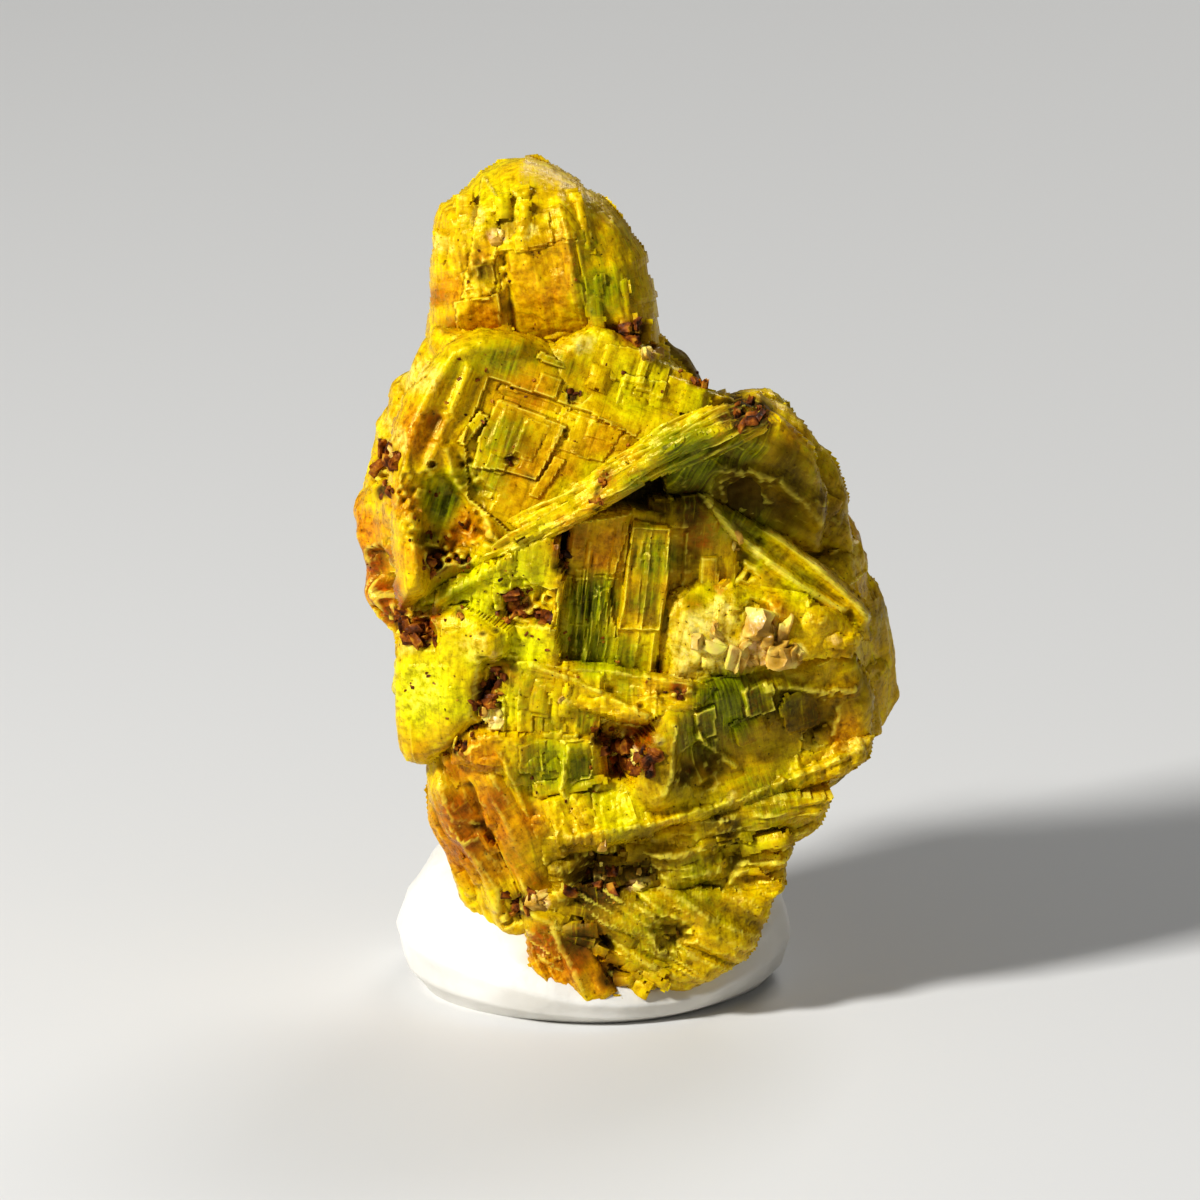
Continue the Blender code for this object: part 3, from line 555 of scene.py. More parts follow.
def distance_to(u, v, points, closed):
    """How far each place of the net is from a line through the points, in millimetres."""
    nearest = np.full(np.broadcast(u, v).shape, 1e9)
    ends = np.roll(points, -1, axis=0) if closed else points[1:]
    for (u0, v0), (u1, v1) in zip(points, ends):
        du, dv = u1 - u0, v1 - v0
        share = np.clip(((u - u0) * du + (v - v0) * dv) / max(du * du + dv * dv, 1e-12), 0, 1)
        nearest = np.minimum(nearest, np.hypot(u - u0 - share * du, v - v0 - share * dv))
    return nearest


def joined_cells(cells):
    """Mends a net's cells so that none touch only at a corner, because a solid can't."""
    cells = cells.copy()
    while True:
        a, b, c, d = cells[:-1, :-1], cells[1:, 1:], cells[1:, :-1], cells[:-1, 1:]
        falling = a & b & ~c & ~d
        rising = c & d & ~a & ~b
        if not (falling.any() or rising.any()):
            return cells
        cells[1:, :-1] |= falling
        cells[:-1, :-1] |= rising


def face_net(crystal, rng):
    """The outer face as a net: its lines, which cells are crystal, its relief, and how far each place stands out or
    sinks in, for painted highlights on edges and painted shade in hollows.
    """
    corners = crystal.border()
    low, high = corners.min(axis=0) - 0.15, corners.max(axis=0) + 0.15
    pitch = crystal.pitch
    cols, rows = (int((high[k] - low[k]) / pitch) + 2 for k in (0, 1))
    u = (low[0] + np.arange(cols) * pitch)[:, None]
    v = (low[1] + np.arange(rows) * pitch)[None, :]
    uu, vv = u + 0 * v, v + 0 * u
    flat = np.stack([uu, vv, 0 * uu], axis=-1)
    own = int(rng.integers(1, 10000))
    across, along = squared(crystal, (cols, rows), rng)

    def noisy(cell, seed):
        return value_noise(flat, cell, own + seed)

    # A border wanders, and where whole sheets have split off it runs in square steps
    ragged_u = uu + crystal.ragged * (noisy(0.45, 1) + 0.4 * noisy(0.12, 14))
    ragged_v = vv + crystal.ragged * (noisy(0.45, 2) + 0.4 * noisy(0.12, 15))
    if crystal.square:
        ragged_u, ragged_v = ragged_u[across, along], ragged_v[across, along]
    within = inside_polygon(ragged_u, ragged_v, corners)
    cells = joined_cells(within[:-1, :-1])

    # The worn form, rounded at its border
    inner = distance_to(uu, vv, corners, True) * np.where(inside_polygon(uu, vv, corners), 1, -1)
    width, fall = crystal.rounded
    inset = np.clip(inner / width, 0, 1)
    dome = -fall * (1 - np.sqrt(1 - (1 - inset) ** 2))
    relief = dome + crystal.swell * noisy(1.3, 3) + 0.4 * crystal.swell * noisy(0.45, 4)
    for kind, shape, *amounts in crystal.marks:
        if kind == "ridge":
            away = distance_to(uu, vv, crystal.on_face(shape), False)
            relief += amounts[1] * np.exp(-((away / amounts[0]) ** 2))
        elif kind == "bowl":
            middle = crystal.on_face([shape])[0]
            uneven = min(1.0, 0.2 / amounts[0]) * (0.8 * noisy(0.3, 5) + 0.6 * noisy(0.12, 16))
            uneven = np.clip(uneven, -0.4, 0.8)
            away = np.hypot(uu - middle[0], vv - middle[1]) * (1 + uneven)
            sunk = np.clip(1.4 - away / amounts[0], 0, 1)
            relief -= amounts[1] * sunk * sunk * (3 - 2 * sunk)
    relief += crystal.layers * (np.floor(relief / 0.04) * 0.04 - relief)
    if crystal.fibres:
        angle, spacing, depth = crystal.fibres
        turn = math.radians(angle)
        run = uu * math.cos(turn) + vv * math.sin(turn)
        cross = -uu * math.sin(turn) + vv * math.cos(turn)
        strands = np.stack([run / 9, cross, 0 * run], axis=-1)
        relief += depth * value_noise(strands, spacing, own + 6)
        relief += 0.4 * depth * value_noise(strands, spacing * 0.4, own + 7)

    # Cleavage breaks the form into small flat sheets
    slope = crystal.sheet * (2.0 * noisy(0.8, 8) + 1.2 * noisy(0.25, 13))
    relief += crystal.flat * np.floor(slope[across, along] / crystal.sheet) * crystal.sheet
    for kind, shape, *amounts in crystal.marks:
        if kind == "sheet":
            worn_u = uu + amounts[1] * noisy(0.25, 9)
            worn_v = vv + amounts[1] * noisy(0.25, 10)
            relief += SHEET_SHARE * amounts[0] * inside_polygon(worn_u, worn_v, crystal.on_face(shape))
    size = high - low
    for _ in range(crystal.slivers):
        at = low + size * rng.uniform(0.1, 0.9, 2)
        span = rng.uniform((0.04, 0.3), (0.25, 1.4))
        if rng.uniform() < 0.35:
            span = span[::-1]
        sliver = (np.abs(uu - at[0]) < span[0] / 2) & (np.abs(vv - at[1]) < span[1] / 2)
        relief += sliver * crystal.sheet * rng.choice((-0.9, 0.6, 0.9, 1.2))
    relief = softened(relief, crystal.worn)
    relief += crystal.grain * (noisy(0.09, 11) + 1.2 * noisy(0.25, 12))
    relief = np.maximum(relief, 0.15 - crystal.deep)
    raised = relief - dome
    # How far each place stands above its surroundings: the material paints highlights on edges that stand out and
    # shadow below them
    edge = raised - softened(raised, 3)
    # How far a place sinks below its surroundings, for the painted shade in hollows
    hollow_shade = softened(raised, 30) - raised
    return uu, vv, cells, relief, edge, hollow_shade


def bent(places):
    """A slow bend of the whole specimen, as nothing in it has grown quite flat."""
    moved = places.copy()
    for axis in range(3):
        moved[:, axis] += 0.07 * value_noise(places, 2.4, 70 + axis) + 0.02 * value_noise(places, 0.6, 80 + axis)
    return moved


def mark_points(mesh, places, leaf, edge, hollow_shade):
    """Stores what the material reads: the sheets' own directions, edges and hollows for painted highlights, shadows and
    shade, and stains, painted shade among them.
    """
    stains = stain_shares(places)
    # The edge channel paints highlights on raised sheet edges and shadow below them, the hollow channel paints shade in
    # hollows
    tones = np.stack([np.clip(0.5 + edge / 0.06, 0, 1), np.clip(hollow_shade / 0.25, 0, 1),
                      stains["gold"], stains["olive"]], axis=1)
    washes = np.stack([stains["lime"], stains["painted_shade"], stains["pale"], stains["pink"]], axis=1)
    crusts = np.stack([stains["rust"], stains["brown"], 0 * edge, 0 * edge], axis=1)
    mesh.attributes.new("leaf", "FLOAT_VECTOR", "POINT").data.foreach_set("vector", leaf.ravel())
    for key, shares in (("tones", tones), ("washes", washes), ("crusts", crusts)):
        mesh.attributes.new(key, "FLOAT_COLOR", "POINT").data.foreach_set("color", shares.ravel())


def crystal_piece(name, crystal, rng):
    """Cuts a net to the crystal's outline, thickens it, and raises its cleavage sheets."""
    uu, vv, cells, relief, edge, hollow_shade = face_net(crystal, rng)
    cols, rows = uu.shape
    bpy.ops.mesh.primitive_grid_add(x_subdivisions=cols - 1, y_subdivisions=rows - 1, size=1)
    obj = bpy.context.object
    obj.name = name
    mesh = obj.data
    points = np.empty(len(mesh.vertices) * 3)
    mesh.vertices.foreach_get("co", points)
    points = points.reshape(-1, 3)
    points[:, 0] = np.rint((points[:, 0] + 0.5) * (cols - 1))
    points[:, 1] = np.rint((points[:, 1] + 0.5) * (rows - 1))
    mesh.vertices.foreach_set("co", points.ravel())
    mesh.update()
    middles = np.empty(len(mesh.polygons) * 3)
    mesh.polygons.foreach_get("center", middles)
    at = np.floor(middles.reshape(-1, 3)[:, :2]).astype(int)
    only(obj)
    bpy.ops.object.mode_set(mode="EDIT")
    bpy.ops.mesh.select_mode(type="FACE")
    bpy.ops.mesh.select_all(action="DESELECT")
    bpy.ops.object.mode_set(mode="OBJECT")
    mesh.polygons.foreach_set("select", ~cells[at[:, 0], at[:, 1]])
    bpy.ops.object.mode_set(mode="EDIT")
    bpy.ops.mesh.delete(type="FACE")
    bpy.ops.mesh.select_all(action="SELECT")
    for _ in range(SIDE_LAYERS):
        bpy.ops.mesh.extrude_region_move(TRANSFORM_OT_translate={"value": (0, 0, -1)})
    bpy.ops.mesh.select_all(action="SELECT")
    bpy.ops.mesh.normals_make_consistent(inside=False)
    bpy.ops.object.mode_set(mode="OBJECT")
    points = np.empty(len(mesh.vertices) * 3)
    mesh.vertices.foreach_get("co", points)
    points = points.reshape(-1, 3)
    i, j = np.rint(points[:, 0]).astype(int), np.rint(points[:, 1]).astype(int)
    outer = points[:, 2] > -0.5
    local = np.stack([uu[i, j], vv[i, j], relief[i, j]], axis=1)
    middle = local[:, :2].mean(axis=0)
    level = np.rint(-points[:, 2]).astype(int)
    depth = level / SIDE_LAYERS
    jut = rng.uniform(-0.05, 0.03, SIDE_LAYERS + 1)[level] * ~outer
    reach = np.hypot(*(local[:, :2] - middle).T) + 0.2
    narrow = 1 - crystal.taper * depth ** 1.6 + jut / reach
    local[:, :2] = middle + (local[:, :2] - middle) * narrow[:, None]
    sides = np.stack([local[:, 0], local[:, 1], 3 * depth * crystal.deep], axis=1)
    wave = 0.05 * np.minimum(1, level)
    local[:, 0] += wave * value_noise(sides, 0.5, 51)
    local[:, 1] += wave * value_noise(sides, 0.5, 52)
    local[:, 2] = np.where(outer, local[:, 2], local[:, 2] * (1 - depth) - crystal.deep * depth)
    placed = crystal.frame()
    places = bent(local @ placed[:3, :3].T + placed[:3, 3])
    mesh.vertices.foreach_set("co", (places * MM).ravel())
    mesh.update()
    mark_points(mesh, places, local + rng.uniform(0, 50, 3), np.where(outer, edge[i, j], 0.0),
                np.where(outer, hollow_shade[i, j], 0.0))
    return obj


def chips(host, count, facing, spread, least, most, deep, seed):
    """Small crystals standing out of a larger one's face, keyed by number."""
    rng = np.random.default_rng(seed)
    placed, corners = host.frame(), host.border()
    low, high = corners.min(axis=0), corners.max(axis=0)
    width, fall = host.rounded
    made = {}
    while len(made) < count:
        u, v = rng.uniform(low, high)
        if not inside_polygon(u, v, corners):
            continue
        size = rng.uniform(least, most)
        inner = distance_to(u, v, corners, True).item()
        if inner < 0.45 * max(size):
            continue
        inset = min(1.0, inner / width)
        sunk = fall * (1 - math.sqrt(1 - (1 - inset) ** 2))
        place = placed[:3, :3] @ (u, v, rng.uniform(-0.02, 0.10) - sunk) + placed[:3, 3]
        azimuth, elevation, roll = np.array(facing) + np.array(spread) * rng.uniform(-1, 1, 3)
        made[len(made)] = Crystal(
            tuple(place), (azimuth, elevation), roll, size=tuple(size), cuts=(0.05,) * 4,
            deep=deep, pitch=PLAIN, rounded=(0.16, 0.10), sheet=0.02, swell=0.08, slivers=0, layers=0.0,
            ragged=0.12)
    return made


def heart_piece(name, at, half, tilt):
    bpy.ops.mesh.primitive_ico_sphere_add(subdivisions=7, radius=1)
    obj = bpy.context.object
    obj.name = name
    mesh = obj.data
    points = np.empty(len(mesh.vertices) * 3)
    mesh.vertices.foreach_get("co", points)
    points = points.reshape(-1, 3)
    turn = np.array(Matrix.Rotation(math.radians(-tilt), 3, "Y"))
    lumps = 1 + 0.04 * value_noise(points, 0.3, 31) + 0.015 * value_noise(points, 0.09, 32)
    places = bent((points * lumps[:, None] * np.array(half)) @ turn.T + np.array(at))
    mesh.vertices.foreach_set("co", (places * MM).ravel())
    mesh.update()
    # The heart lies deep between the crystals and gets painted shade in hollows all over
    mark_points(mesh, places, places, np.zeros(len(places)), np.full(len(places), 0.2))
    return obj


def fill_seams(mesh):
    """Gives the points where crystals meet, which come unmarked, the mean of the marks round them."""
    count = len(mesh.vertices)
    kept = {"leaf": ("vector", 3), "tones": ("color", 4), "washes": ("color", 4), "crusts": ("color", 4)}
    marks = {}
    for key, (field, width) in kept.items():
        marks[key] = np.empty(count * width)
        mesh.attributes[key].data.foreach_get(field, marks[key])
        marks[key] = marks[key].reshape(-1, width)
    ends = np.empty(len(mesh.edges) * 2, int)
    mesh.edges.foreach_get("vertices", ends)
    ends = ends.reshape(-1, 2)
    ends = np.concatenate([ends, ends[:, ::-1]])
    known = np.abs(marks["leaf"]).sum(axis=1) > 0
    while not known.all():
        near = ends[~known[ends[:, 0]] & known[ends[:, 1]]]
        number = np.bincount(near[:, 0], minlength=count)
        reached = number > 0
        if not reached.any():
            break
        for values in marks.values():
            for column in values.T:
                total = np.bincount(near[:, 0], weights=column[near[:, 1]], minlength=count)
                column[reached] = total[reached] / number[reached]
        known |= reached
    for key, (field, width) in kept.items():
        mesh.attributes[key].data.foreach_set(field, marks[key].ravel())


def grown_together(name, pieces):
    """Joins crystals that cross one another into one closed skin."""
    whole, others = pieces[0], pieces[1:]
    group = bpy.data.collections.new(name + "_crystals")
    bpy.context.scene.collection.children.link(group)
    for other in others:
        group.objects.link(other)
    join = whole.modifiers.new("grown together", "BOOLEAN")
    join.operation = "UNION"
    join.solver = "MANIFOLD"
    join.operand_type = "COLLECTION"
    join.collection = group
    only(whole)
    bpy.ops.object.modifier_apply(modifier=join.name)
    for other in others:
        bpy.data.objects.remove(other)
    bpy.data.collections.remove(group)
    fill_seams(whole.data)
    whole.name = name
    only(whole)
    bpy.ops.object.shade_smooth_by_angle(angle=math.radians(42))
    return whole


def crystals(name, table, seed, hearts=()):
    rng = np.random.default_rng(seed)
    pieces = [heart_piece(heart, *HEARTS[heart]) for heart in hearts]
    pieces += [crystal_piece(key, crystal, rng) for key, crystal in table.items()]
    for count, (host, *amounts) in enumerate(CHIPS):
        if host in table:
            small = chips(table[host], *amounts, seed=200 + count)
            pieces += [crystal_piece("chip", crystal, rng) for crystal in small.values()]
    return grown_together(name, pieces)


# Stains and painted shade, as points of the photograph: x, y, radius and strength. They colour what lies at the front.
# Where the photograph doesn't show the specimen, the same stains and painted shade are strewn by noise.
STAINS = {
    "gold": (
        (470, 255, 42, 0.5), (545, 275, 42, 0.75), (482, 320, 30, 0.9), (448, 290, 22, 0.8), (530, 310, 30, 0.6),
        (440, 385, 24, 0.5), (420, 430, 34, 0.9), (402, 500, 26, 0.8), (412, 560, 26, 0.7), (520, 400, 45, 0.6),
        (540, 470, 50, 0.7), (465, 535, 26, 0.9), (602, 440, 30, 0.6), (600, 375, 24, 0.3),
        (362, 530, 32, 1.0), (375, 590, 30, 1.0), (350, 500, 22, 0.8), (600, 548, 28, 1.0), (560, 520, 9, 0.8), (590, 502, 9, 0.8), (625, 477, 9, 0.7), (655, 457, 9, 0.7), (575, 545, 18, 0.9), (640, 600, 22, 0.6), (720, 575, 22, 0.6),
        (482, 752, 26, 1.0), (465, 765, 22, 0.9), (470, 830, 60, 1.0), (515, 830, 30, 0.9), (440, 620, 12, 0.6),
        (560, 965, 34, 1.0), (600, 975, 26, 0.9), (835, 700, 30, 0.6), (845, 730, 24, 0.9), (800, 430, 22, 0.5),
        (840, 520, 30, 0.5), (868, 590, 26, 0.5), (690, 590, 24, 0.7), (770, 615, 24, 0.7), (590, 850, 40, 0.5),
        (700, 780, 26, 0.7), (650, 700, 24, 0.5), (560, 715, 16, 0.4), (420, 750, 16, 0.6), (680, 900, 50, 0.4)),
    "lime": (
        (585, 625, 30, 0.9), (600, 660, 30, 0.9), (645, 655, 24, 0.7), (650, 560, 20, 0.5),
        (640, 390, 40, 0.8), (600, 350, 30, 0.5), (560, 495, 20, 0.7), (700, 425, 24, 0.8), (530, 515, 16, 0.7),
        (425, 690, 46, 1.0), (430, 650, 30, 0.8), (450, 700, 30, 0.9), (480, 590, 44, 1.0), (530, 570, 28, 0.9),
        (440, 610, 24, 0.7), (520, 645, 40, 0.9), (470, 660, 20, 0.7), (505, 710, 30, 0.7), (560, 700, 30, 0.6),
        (560, 770, 34, 0.9), (600, 280, 30, 0.7), (500, 195, 34, 0.6), (470, 240, 24, 0.4), (480, 350, 34, 0.6),
        (455, 370, 22, 0.7), (450, 480, 22, 0.8), (440, 505, 18, 0.9), (600, 480, 30, 0.7), (660, 445, 30, 0.7),
        (700, 415, 26, 0.5), (540, 520, 26, 0.6), (660, 365, 30, 0.5), (690, 400, 26, 0.6), (720, 525, 24, 0.9),
        (760, 550, 26, 0.9), (800, 585, 26, 0.8), (700, 600, 30, 0.6), (750, 590, 30, 0.5), (680, 655, 26, 0.7),
        (600, 670, 40, 0.6), (650, 710, 24, 0.5), (620, 812, 40, 0.7), (700, 800, 40, 0.6), (800, 765, 40, 0.5),
        (600, 640, 34, 0.5), (690, 880, 34, 0.6), (740, 850, 30, 0.6), (645, 900, 24, 0.5), (720, 930, 24, 0.5)),
    # painted shade: dark brown-olive where the specimen lies in shade, on its right, below the blade and low down
    "painted_shade": (
        (520, 440, 40, 0.5), (500, 470, 24, 0.5), (600, 560, 40, 0.4), (645, 590, 24, 0.6),
        (720, 480, 44, 1.0), (780, 490, 40, 0.9), (860, 640, 44, 0.5), (885, 600, 36, 0.6),
        (872, 700, 40, 0.6), (842, 480, 36, 0.5), (640, 930, 56, 0.5), (700, 870, 46, 0.5), (740, 930, 40, 0.6),(820, 520, 40, 0.8), (700, 440, 20, 0.5), (840, 560, 24, 0.6),
        (740, 700, 46, 1.0), (800, 710, 44, 1.0), (700, 740, 30, 0.9), (770, 740, 30, 0.7), (840, 690, 24, 0.6),
        (640, 565, 24, 0.5), (660, 620, 16, 0.6), (560, 860, 30, 0.8), (600, 880, 44, 1.0), (650, 860, 36, 0.9),
        (720, 830, 30, 0.8), (590, 930, 36, 0.9), (560, 910, 24, 0.8), (740, 870, 30, 0.5), (660, 940, 30, 0.5),
        (700, 960, 24, 0.5), (640, 740, 30, 0.6), (670, 770, 34, 0.7), (480, 860, 26, 0.4), (860, 760, 24, 0.5),
        (880, 680, 20, 0.5), (800, 840, 24, 0.6), (700, 505, 26, 0.7), (515, 700, 16, 0.3), (560, 620, 8, 0.6)),
    # Olive is the mineral's own colour seen deep into its sheets; the olive spots below the blade and at the lower
    # right, where the specimen lies in shade, are painted shade.
    "olive": (
        (600, 290, 34, 0.8), (585, 250, 26, 0.5), (620, 240, 22, 0.4), (505, 362, 24, 0.8), (525, 355, 20, 0.5),
        (455, 375, 16, 0.3), (505, 440, 36, 0.7), (480, 480, 34, 0.7), (442, 500, 24, 1.0), (432, 540, 18, 0.8),
        (560, 365, 22, 0.6), (690, 465, 46, 1.0), (640, 485, 24, 0.9), (740, 448, 26, 0.9), (590, 600, 30, 1.1),
        (585, 645, 30, 0.9), (625, 660, 26, 0.8), (645, 600, 22, 0.7), (655, 560, 30, 0.8), (645, 530, 16, 0.6), (520, 560, 36, 0.5),
        (455, 588, 22, 0.7), (540, 600, 16, 0.4), (525, 690, 30, 0.5), (545, 722, 16, 0.7), (588, 722, 16, 0.8),
        (540, 765, 32, 0.8), (580, 765, 24, 0.9), (590, 790, 16, 0.7), (730, 700, 44, 1.0), (700, 740, 34, 0.8),
        (780, 690, 34, 0.6), (745, 520, 30, 0.8), (760, 560, 22, 0.6), (625, 690, 18, 0.6), (650, 930, 50, 0.6),
        (700, 880, 46, 0.6), (770, 800, 40, 0.7), (640, 790, 24, 0.3), (800, 470, 40, 0.4)),
    "rust": (
        (438, 420, 15, 0.8), (385, 465, 15, 0.6), (352, 560, 14, 0.6), (378, 560, 18, 1.0), (384, 592, 20, 1.0), (396, 612, 20, 1.0),
        (422, 625, 20, 1.0), (445, 565, 24, 0.7), (528, 396, 20, 0.6), (603, 480, 15, 0.8), (600, 497, 10, 0.8),
        (560, 548, 12, 0.8), (575, 530, 18, 0.6), (625, 522, 16, 0.5), (700, 535, 30, 0.8), (690, 600, 14, 0.6),
        (520, 608, 24, 0.7), (508, 672, 14, 0.7), (486, 690, 16, 0.8), (635, 740, 26, 1.0), (620, 765, 20, 1.0),
        (680, 690, 12, 1.0), (605, 735, 16, 0.8), (455, 810, 26, 0.8), (500, 800, 20, 0.8), (468, 845, 20, 0.8),
        (515, 860, 18, 0.6), (530, 880, 14, 0.7), (545, 940, 22, 0.9), (575, 960, 20, 0.8), (440, 295, 12, 0.7),
        (452, 325, 14, 0.7), (595, 225, 10, 0.6), (630, 330, 18, 1.0), (700, 380, 12, 1.0), (715, 590, 10, 0.7),
        (455, 770, 14, 0.7), (590, 930, 24, 0.5), (750, 700, 18, 0.5), (775, 660, 12, 0.6), (840, 655, 10, 0.5)),
    # Brown is dirt and crust in the pits; the broad brown spots below the blade, round 660 to 790 across and 450 to 510
    # down, are painted shadow.
    "brown": (
        (488, 275, 15, 0.8), (505, 225, 11, 0.6), (509, 310, 8, 0.7), (634, 328, 13, 1.0), (388, 457, 12, 0.9),
        (385, 492, 9, 1.0), (432, 562, 10, 1.0), (444, 570, 6, 1.0), (463, 564, 8, 1.0), (575, 395, 8, 1.0),
        (511, 461, 6, 1.0), (528, 475, 5, 0.8), (563, 433, 4, 1.0), (431, 466, 5, 0.9), (604, 478, 5, 0.8),
        (597, 493, 5, 1.0), (597, 508, 4, 1.0), (742, 412, 20, 1.3), (760, 415, 16, 1.3), (722, 418, 12, 1.0), (562, 565, 10, 1.0),
        (518, 604, 12, 1.0), (507, 612, 8, 1.0), (543, 618, 8, 1.0), (461, 611, 6, 1.0), (479, 636, 4, 1.0),
        (493, 633, 5, 1.0), (424, 638, 11, 1.0), (405, 616, 10, 0.8), (487, 690, 13, 1.0), (478, 703, 7, 1.0),
        (497, 676, 10, 0.9), (516, 668, 6, 0.9), (461, 747, 9, 1.0), (475, 727, 8, 0.9), (600, 738, 12, 0.9),
        (642, 765, 12, 1.0), (680, 692, 6, 1.0), (478, 828, 8, 0.9), (520, 905, 15, 1.0), (595, 888, 30, 1.0),
        (575, 940, 20, 0.9), (610, 975, 14, 0.9), (640, 870, 14, 0.9), (600, 860, 14, 0.7), (690, 775, 14, 0.9),
        (715, 765, 16, 0.8), (690, 505, 26, 0.9), (660, 505, 16, 0.9), (745, 495, 30, 0.7), (790, 510, 26, 0.6),
        (785, 450, 22, 0.5), (695, 710, 10, 0.3), (770, 710, 12, 0.6), (815, 715, 14, 0.7), (685, 560, 16, 0.7),
        (690, 635, 8, 0.6), (658, 665, 8, 0.8), (735, 862, 12, 0.8), (675, 930, 14, 0.8), (700, 905, 16, 0.5)),
    "pale": (
        (442, 245, 16, 0.7), (478, 215, 10, 0.8), (530, 232, 10, 0.7), (590, 345, 12, 0.8), (420, 375, 22, 0.7),
        (400, 440, 14, 0.6), (383, 425, 12, 0.5), (490, 715, 13, 1.0), (470, 645, 20, 0.5), (425, 690, 30, 0.4),
        (700, 640, 32, 1.0), (720, 615, 20, 0.8), (690, 660, 20, 0.9), (800, 655, 12, 0.8), (735, 650, 16, 0.8),
        (660, 740, 8, 0.9), (732, 800, 8, 0.8), (410, 650, 14, 0.5), (760, 550, 10, 0.7), (735, 535, 12, 0.6),
        (860, 560, 12, 0.5), (640, 880, 8, 0.7), (565, 700, 8, 0.5), (555, 665, 20, 0.3), (855, 745, 12, 0.5)),
    "pink": (
        (497, 235, 8, 0.8), (652, 352, 8, 1.0), (760, 640, 22, 0.9), (780, 655, 12, 0.8), (748, 655, 12, 0.9),
        (630, 757, 7, 1.0), (536, 902, 9, 1.0), (524, 605, 6, 0.9), (490, 660, 8, 0.5), (840, 640, 12, 0.5),
        (632, 884, 6, 0.8), (560, 545, 6, 0.6)),
}
STREWN = {"gold": (1.6, 0.15, 1.3), "lime": (2.1, 0.1, 1.2), "painted_shade": (1.4, 0.1, 1.2), "olive": (1.9, -0.1, 1.2), "rust": (1.1, -0.35, 1.6),
          "brown": (0.7, -0.45, 1.9), "pale": (0.9, -0.45, 1.4), "pink": (0.6, -0.6, 1.4)}


def stain_shares(places):
    """How much of each stain, and of painted shade, there is at places in millimetres, from 0 to 1."""
    seen = photo_points(places)
    wander = np.stack([value_noise(places, 0.5, 90), value_noise(places, 0.5, 91)], axis=-1) * 7
    seen = seen + wander
    front = np.clip(0.5 - places[:, 1] * 0.8, 0, 1)
    shares = {}
    for count, (kind, spots) in enumerate(STAINS.items()):
        share = np.zeros(len(places))
        for x, y, radius, strength in spots:
            away = np.hypot(seen[:, 0] - x, seen[:, 1] - y) / radius
            share = np.maximum(share, strength * np.clip(1.45 - away, 0, 1))
        cell, shift, gain = STREWN[kind]
        strewn = np.clip(shift + gain * value_noise(places, cell, 40 + count), 0, 1)
        shares[kind] = share * front + strewn * (1 - front)
    return shares


# Crumbs in the pits

# Where crumbs lie, as points of the photograph: x, y, radius, how many, their size in millimetres
RUSTY_CRUMBS = (
    (388, 457, 13, 12, 0.20), (385, 490, 9, 6, 0.16), (432, 562, 13, 8, 0.14), (462, 564, 8, 4, 0.10),
    (424, 634, 14, 16, 0.17), (406, 618, 10, 8, 0.15), (518, 602, 15, 16, 0.17), (543, 617, 9, 7, 0.14),
    (505, 614, 9, 5, 0.12), (461, 611, 7, 4, 0.11), (487, 690, 14, 16, 0.17), (478, 704, 9, 6, 0.14),
    (497, 676, 9, 6, 0.12), (562, 560, 9, 6, 0.14), (636, 758, 20, 22, 0.20), (604, 738, 14, 8, 0.15),
    (748, 412, 14, 12, 0.13), (511, 461, 5, 3, 0.09), (575, 395, 6, 3, 0.10), (680, 692, 7, 4, 0.12),
    (461, 747, 9, 5, 0.13), (475, 728, 8, 4, 0.11), (520, 903, 16, 10, 0.18), (595, 888, 26, 10, 0.18),
    (605, 480, 7, 4, 0.09), (597, 500, 6, 4, 0.08), (634, 330, 12, 7, 0.17), (700, 382, 10, 5, 0.14),
    (480, 600, 55, 18, 0.05), (540, 650, 40, 10, 0.05), (432, 690, 34, 12, 0.05), (530, 430, 55, 14, 0.05),
    (470, 380, 45, 12, 0.05), (432, 520, 34, 14, 0.06), (595, 640, 34, 8, 0.04), (560, 780, 40, 8, 0.05),
    (366, 560, 14, 8, 0.06), (640, 400, 50, 8, 0.05), (520, 280, 60, 12, 0.04), (620, 700, 50, 8, 0.05))
PALE_CRUMBS = (
    (765, 642, 26, 9, 0.38), (725, 652, 24, 5, 0.34), (790, 655, 14, 5, 0.22), (705, 635, 18, 4, 0.22),
    (490, 716, 11, 8, 0.20), (632, 756, 9, 5, 0.18), (536, 900, 9, 6, 0.20), (388, 450, 8, 4, 0.14),
    (524, 604, 7, 4, 0.14), (565, 700, 6, 2, 0.12), (652, 352, 8, 4, 0.16), (497, 236, 7, 3, 0.12),
    (600, 860, 20, 6, 0.16), (640, 880, 10, 4, 0.16), (735, 540, 10, 3, 0.16))


def crumb(name, seed):
    """One broken grain: a block with its edges taken off, knocked out of shape."""
    bpy.ops.mesh.primitive_cube_add(size=2)
    obj = bpy.context.object
    obj.name = name
    only(obj)
    bpy.ops.object.mode_set(mode="EDIT")
    bpy.ops.mesh.select_all(action="SELECT")
    bpy.ops.mesh.bevel(offset=0.3, segments=2, affect="EDGES")
    bpy.ops.mesh.subdivide(number_cuts=1)
    bpy.ops.object.mode_set(mode="OBJECT")
    mesh = obj.data
    points = np.empty(len(mesh.vertices) * 3)
    mesh.vertices.foreach_get("co", points)
    points = points.reshape(-1, 3)
    for axis, stretch in enumerate((1.3, 1.0, 0.65)):
        points[:, axis] += 0.45 * value_noise(points, 1.1, seed + axis) + 0.22 * value_noise(points, 0.5, seed + 5 + axis)
        points[:, axis] *= stretch / 2
    mesh.vertices.foreach_set("co", points.ravel())
    mesh.update()
    bpy.ops.object.shade_smooth_by_angle(angle=math.radians(35))
    return obj


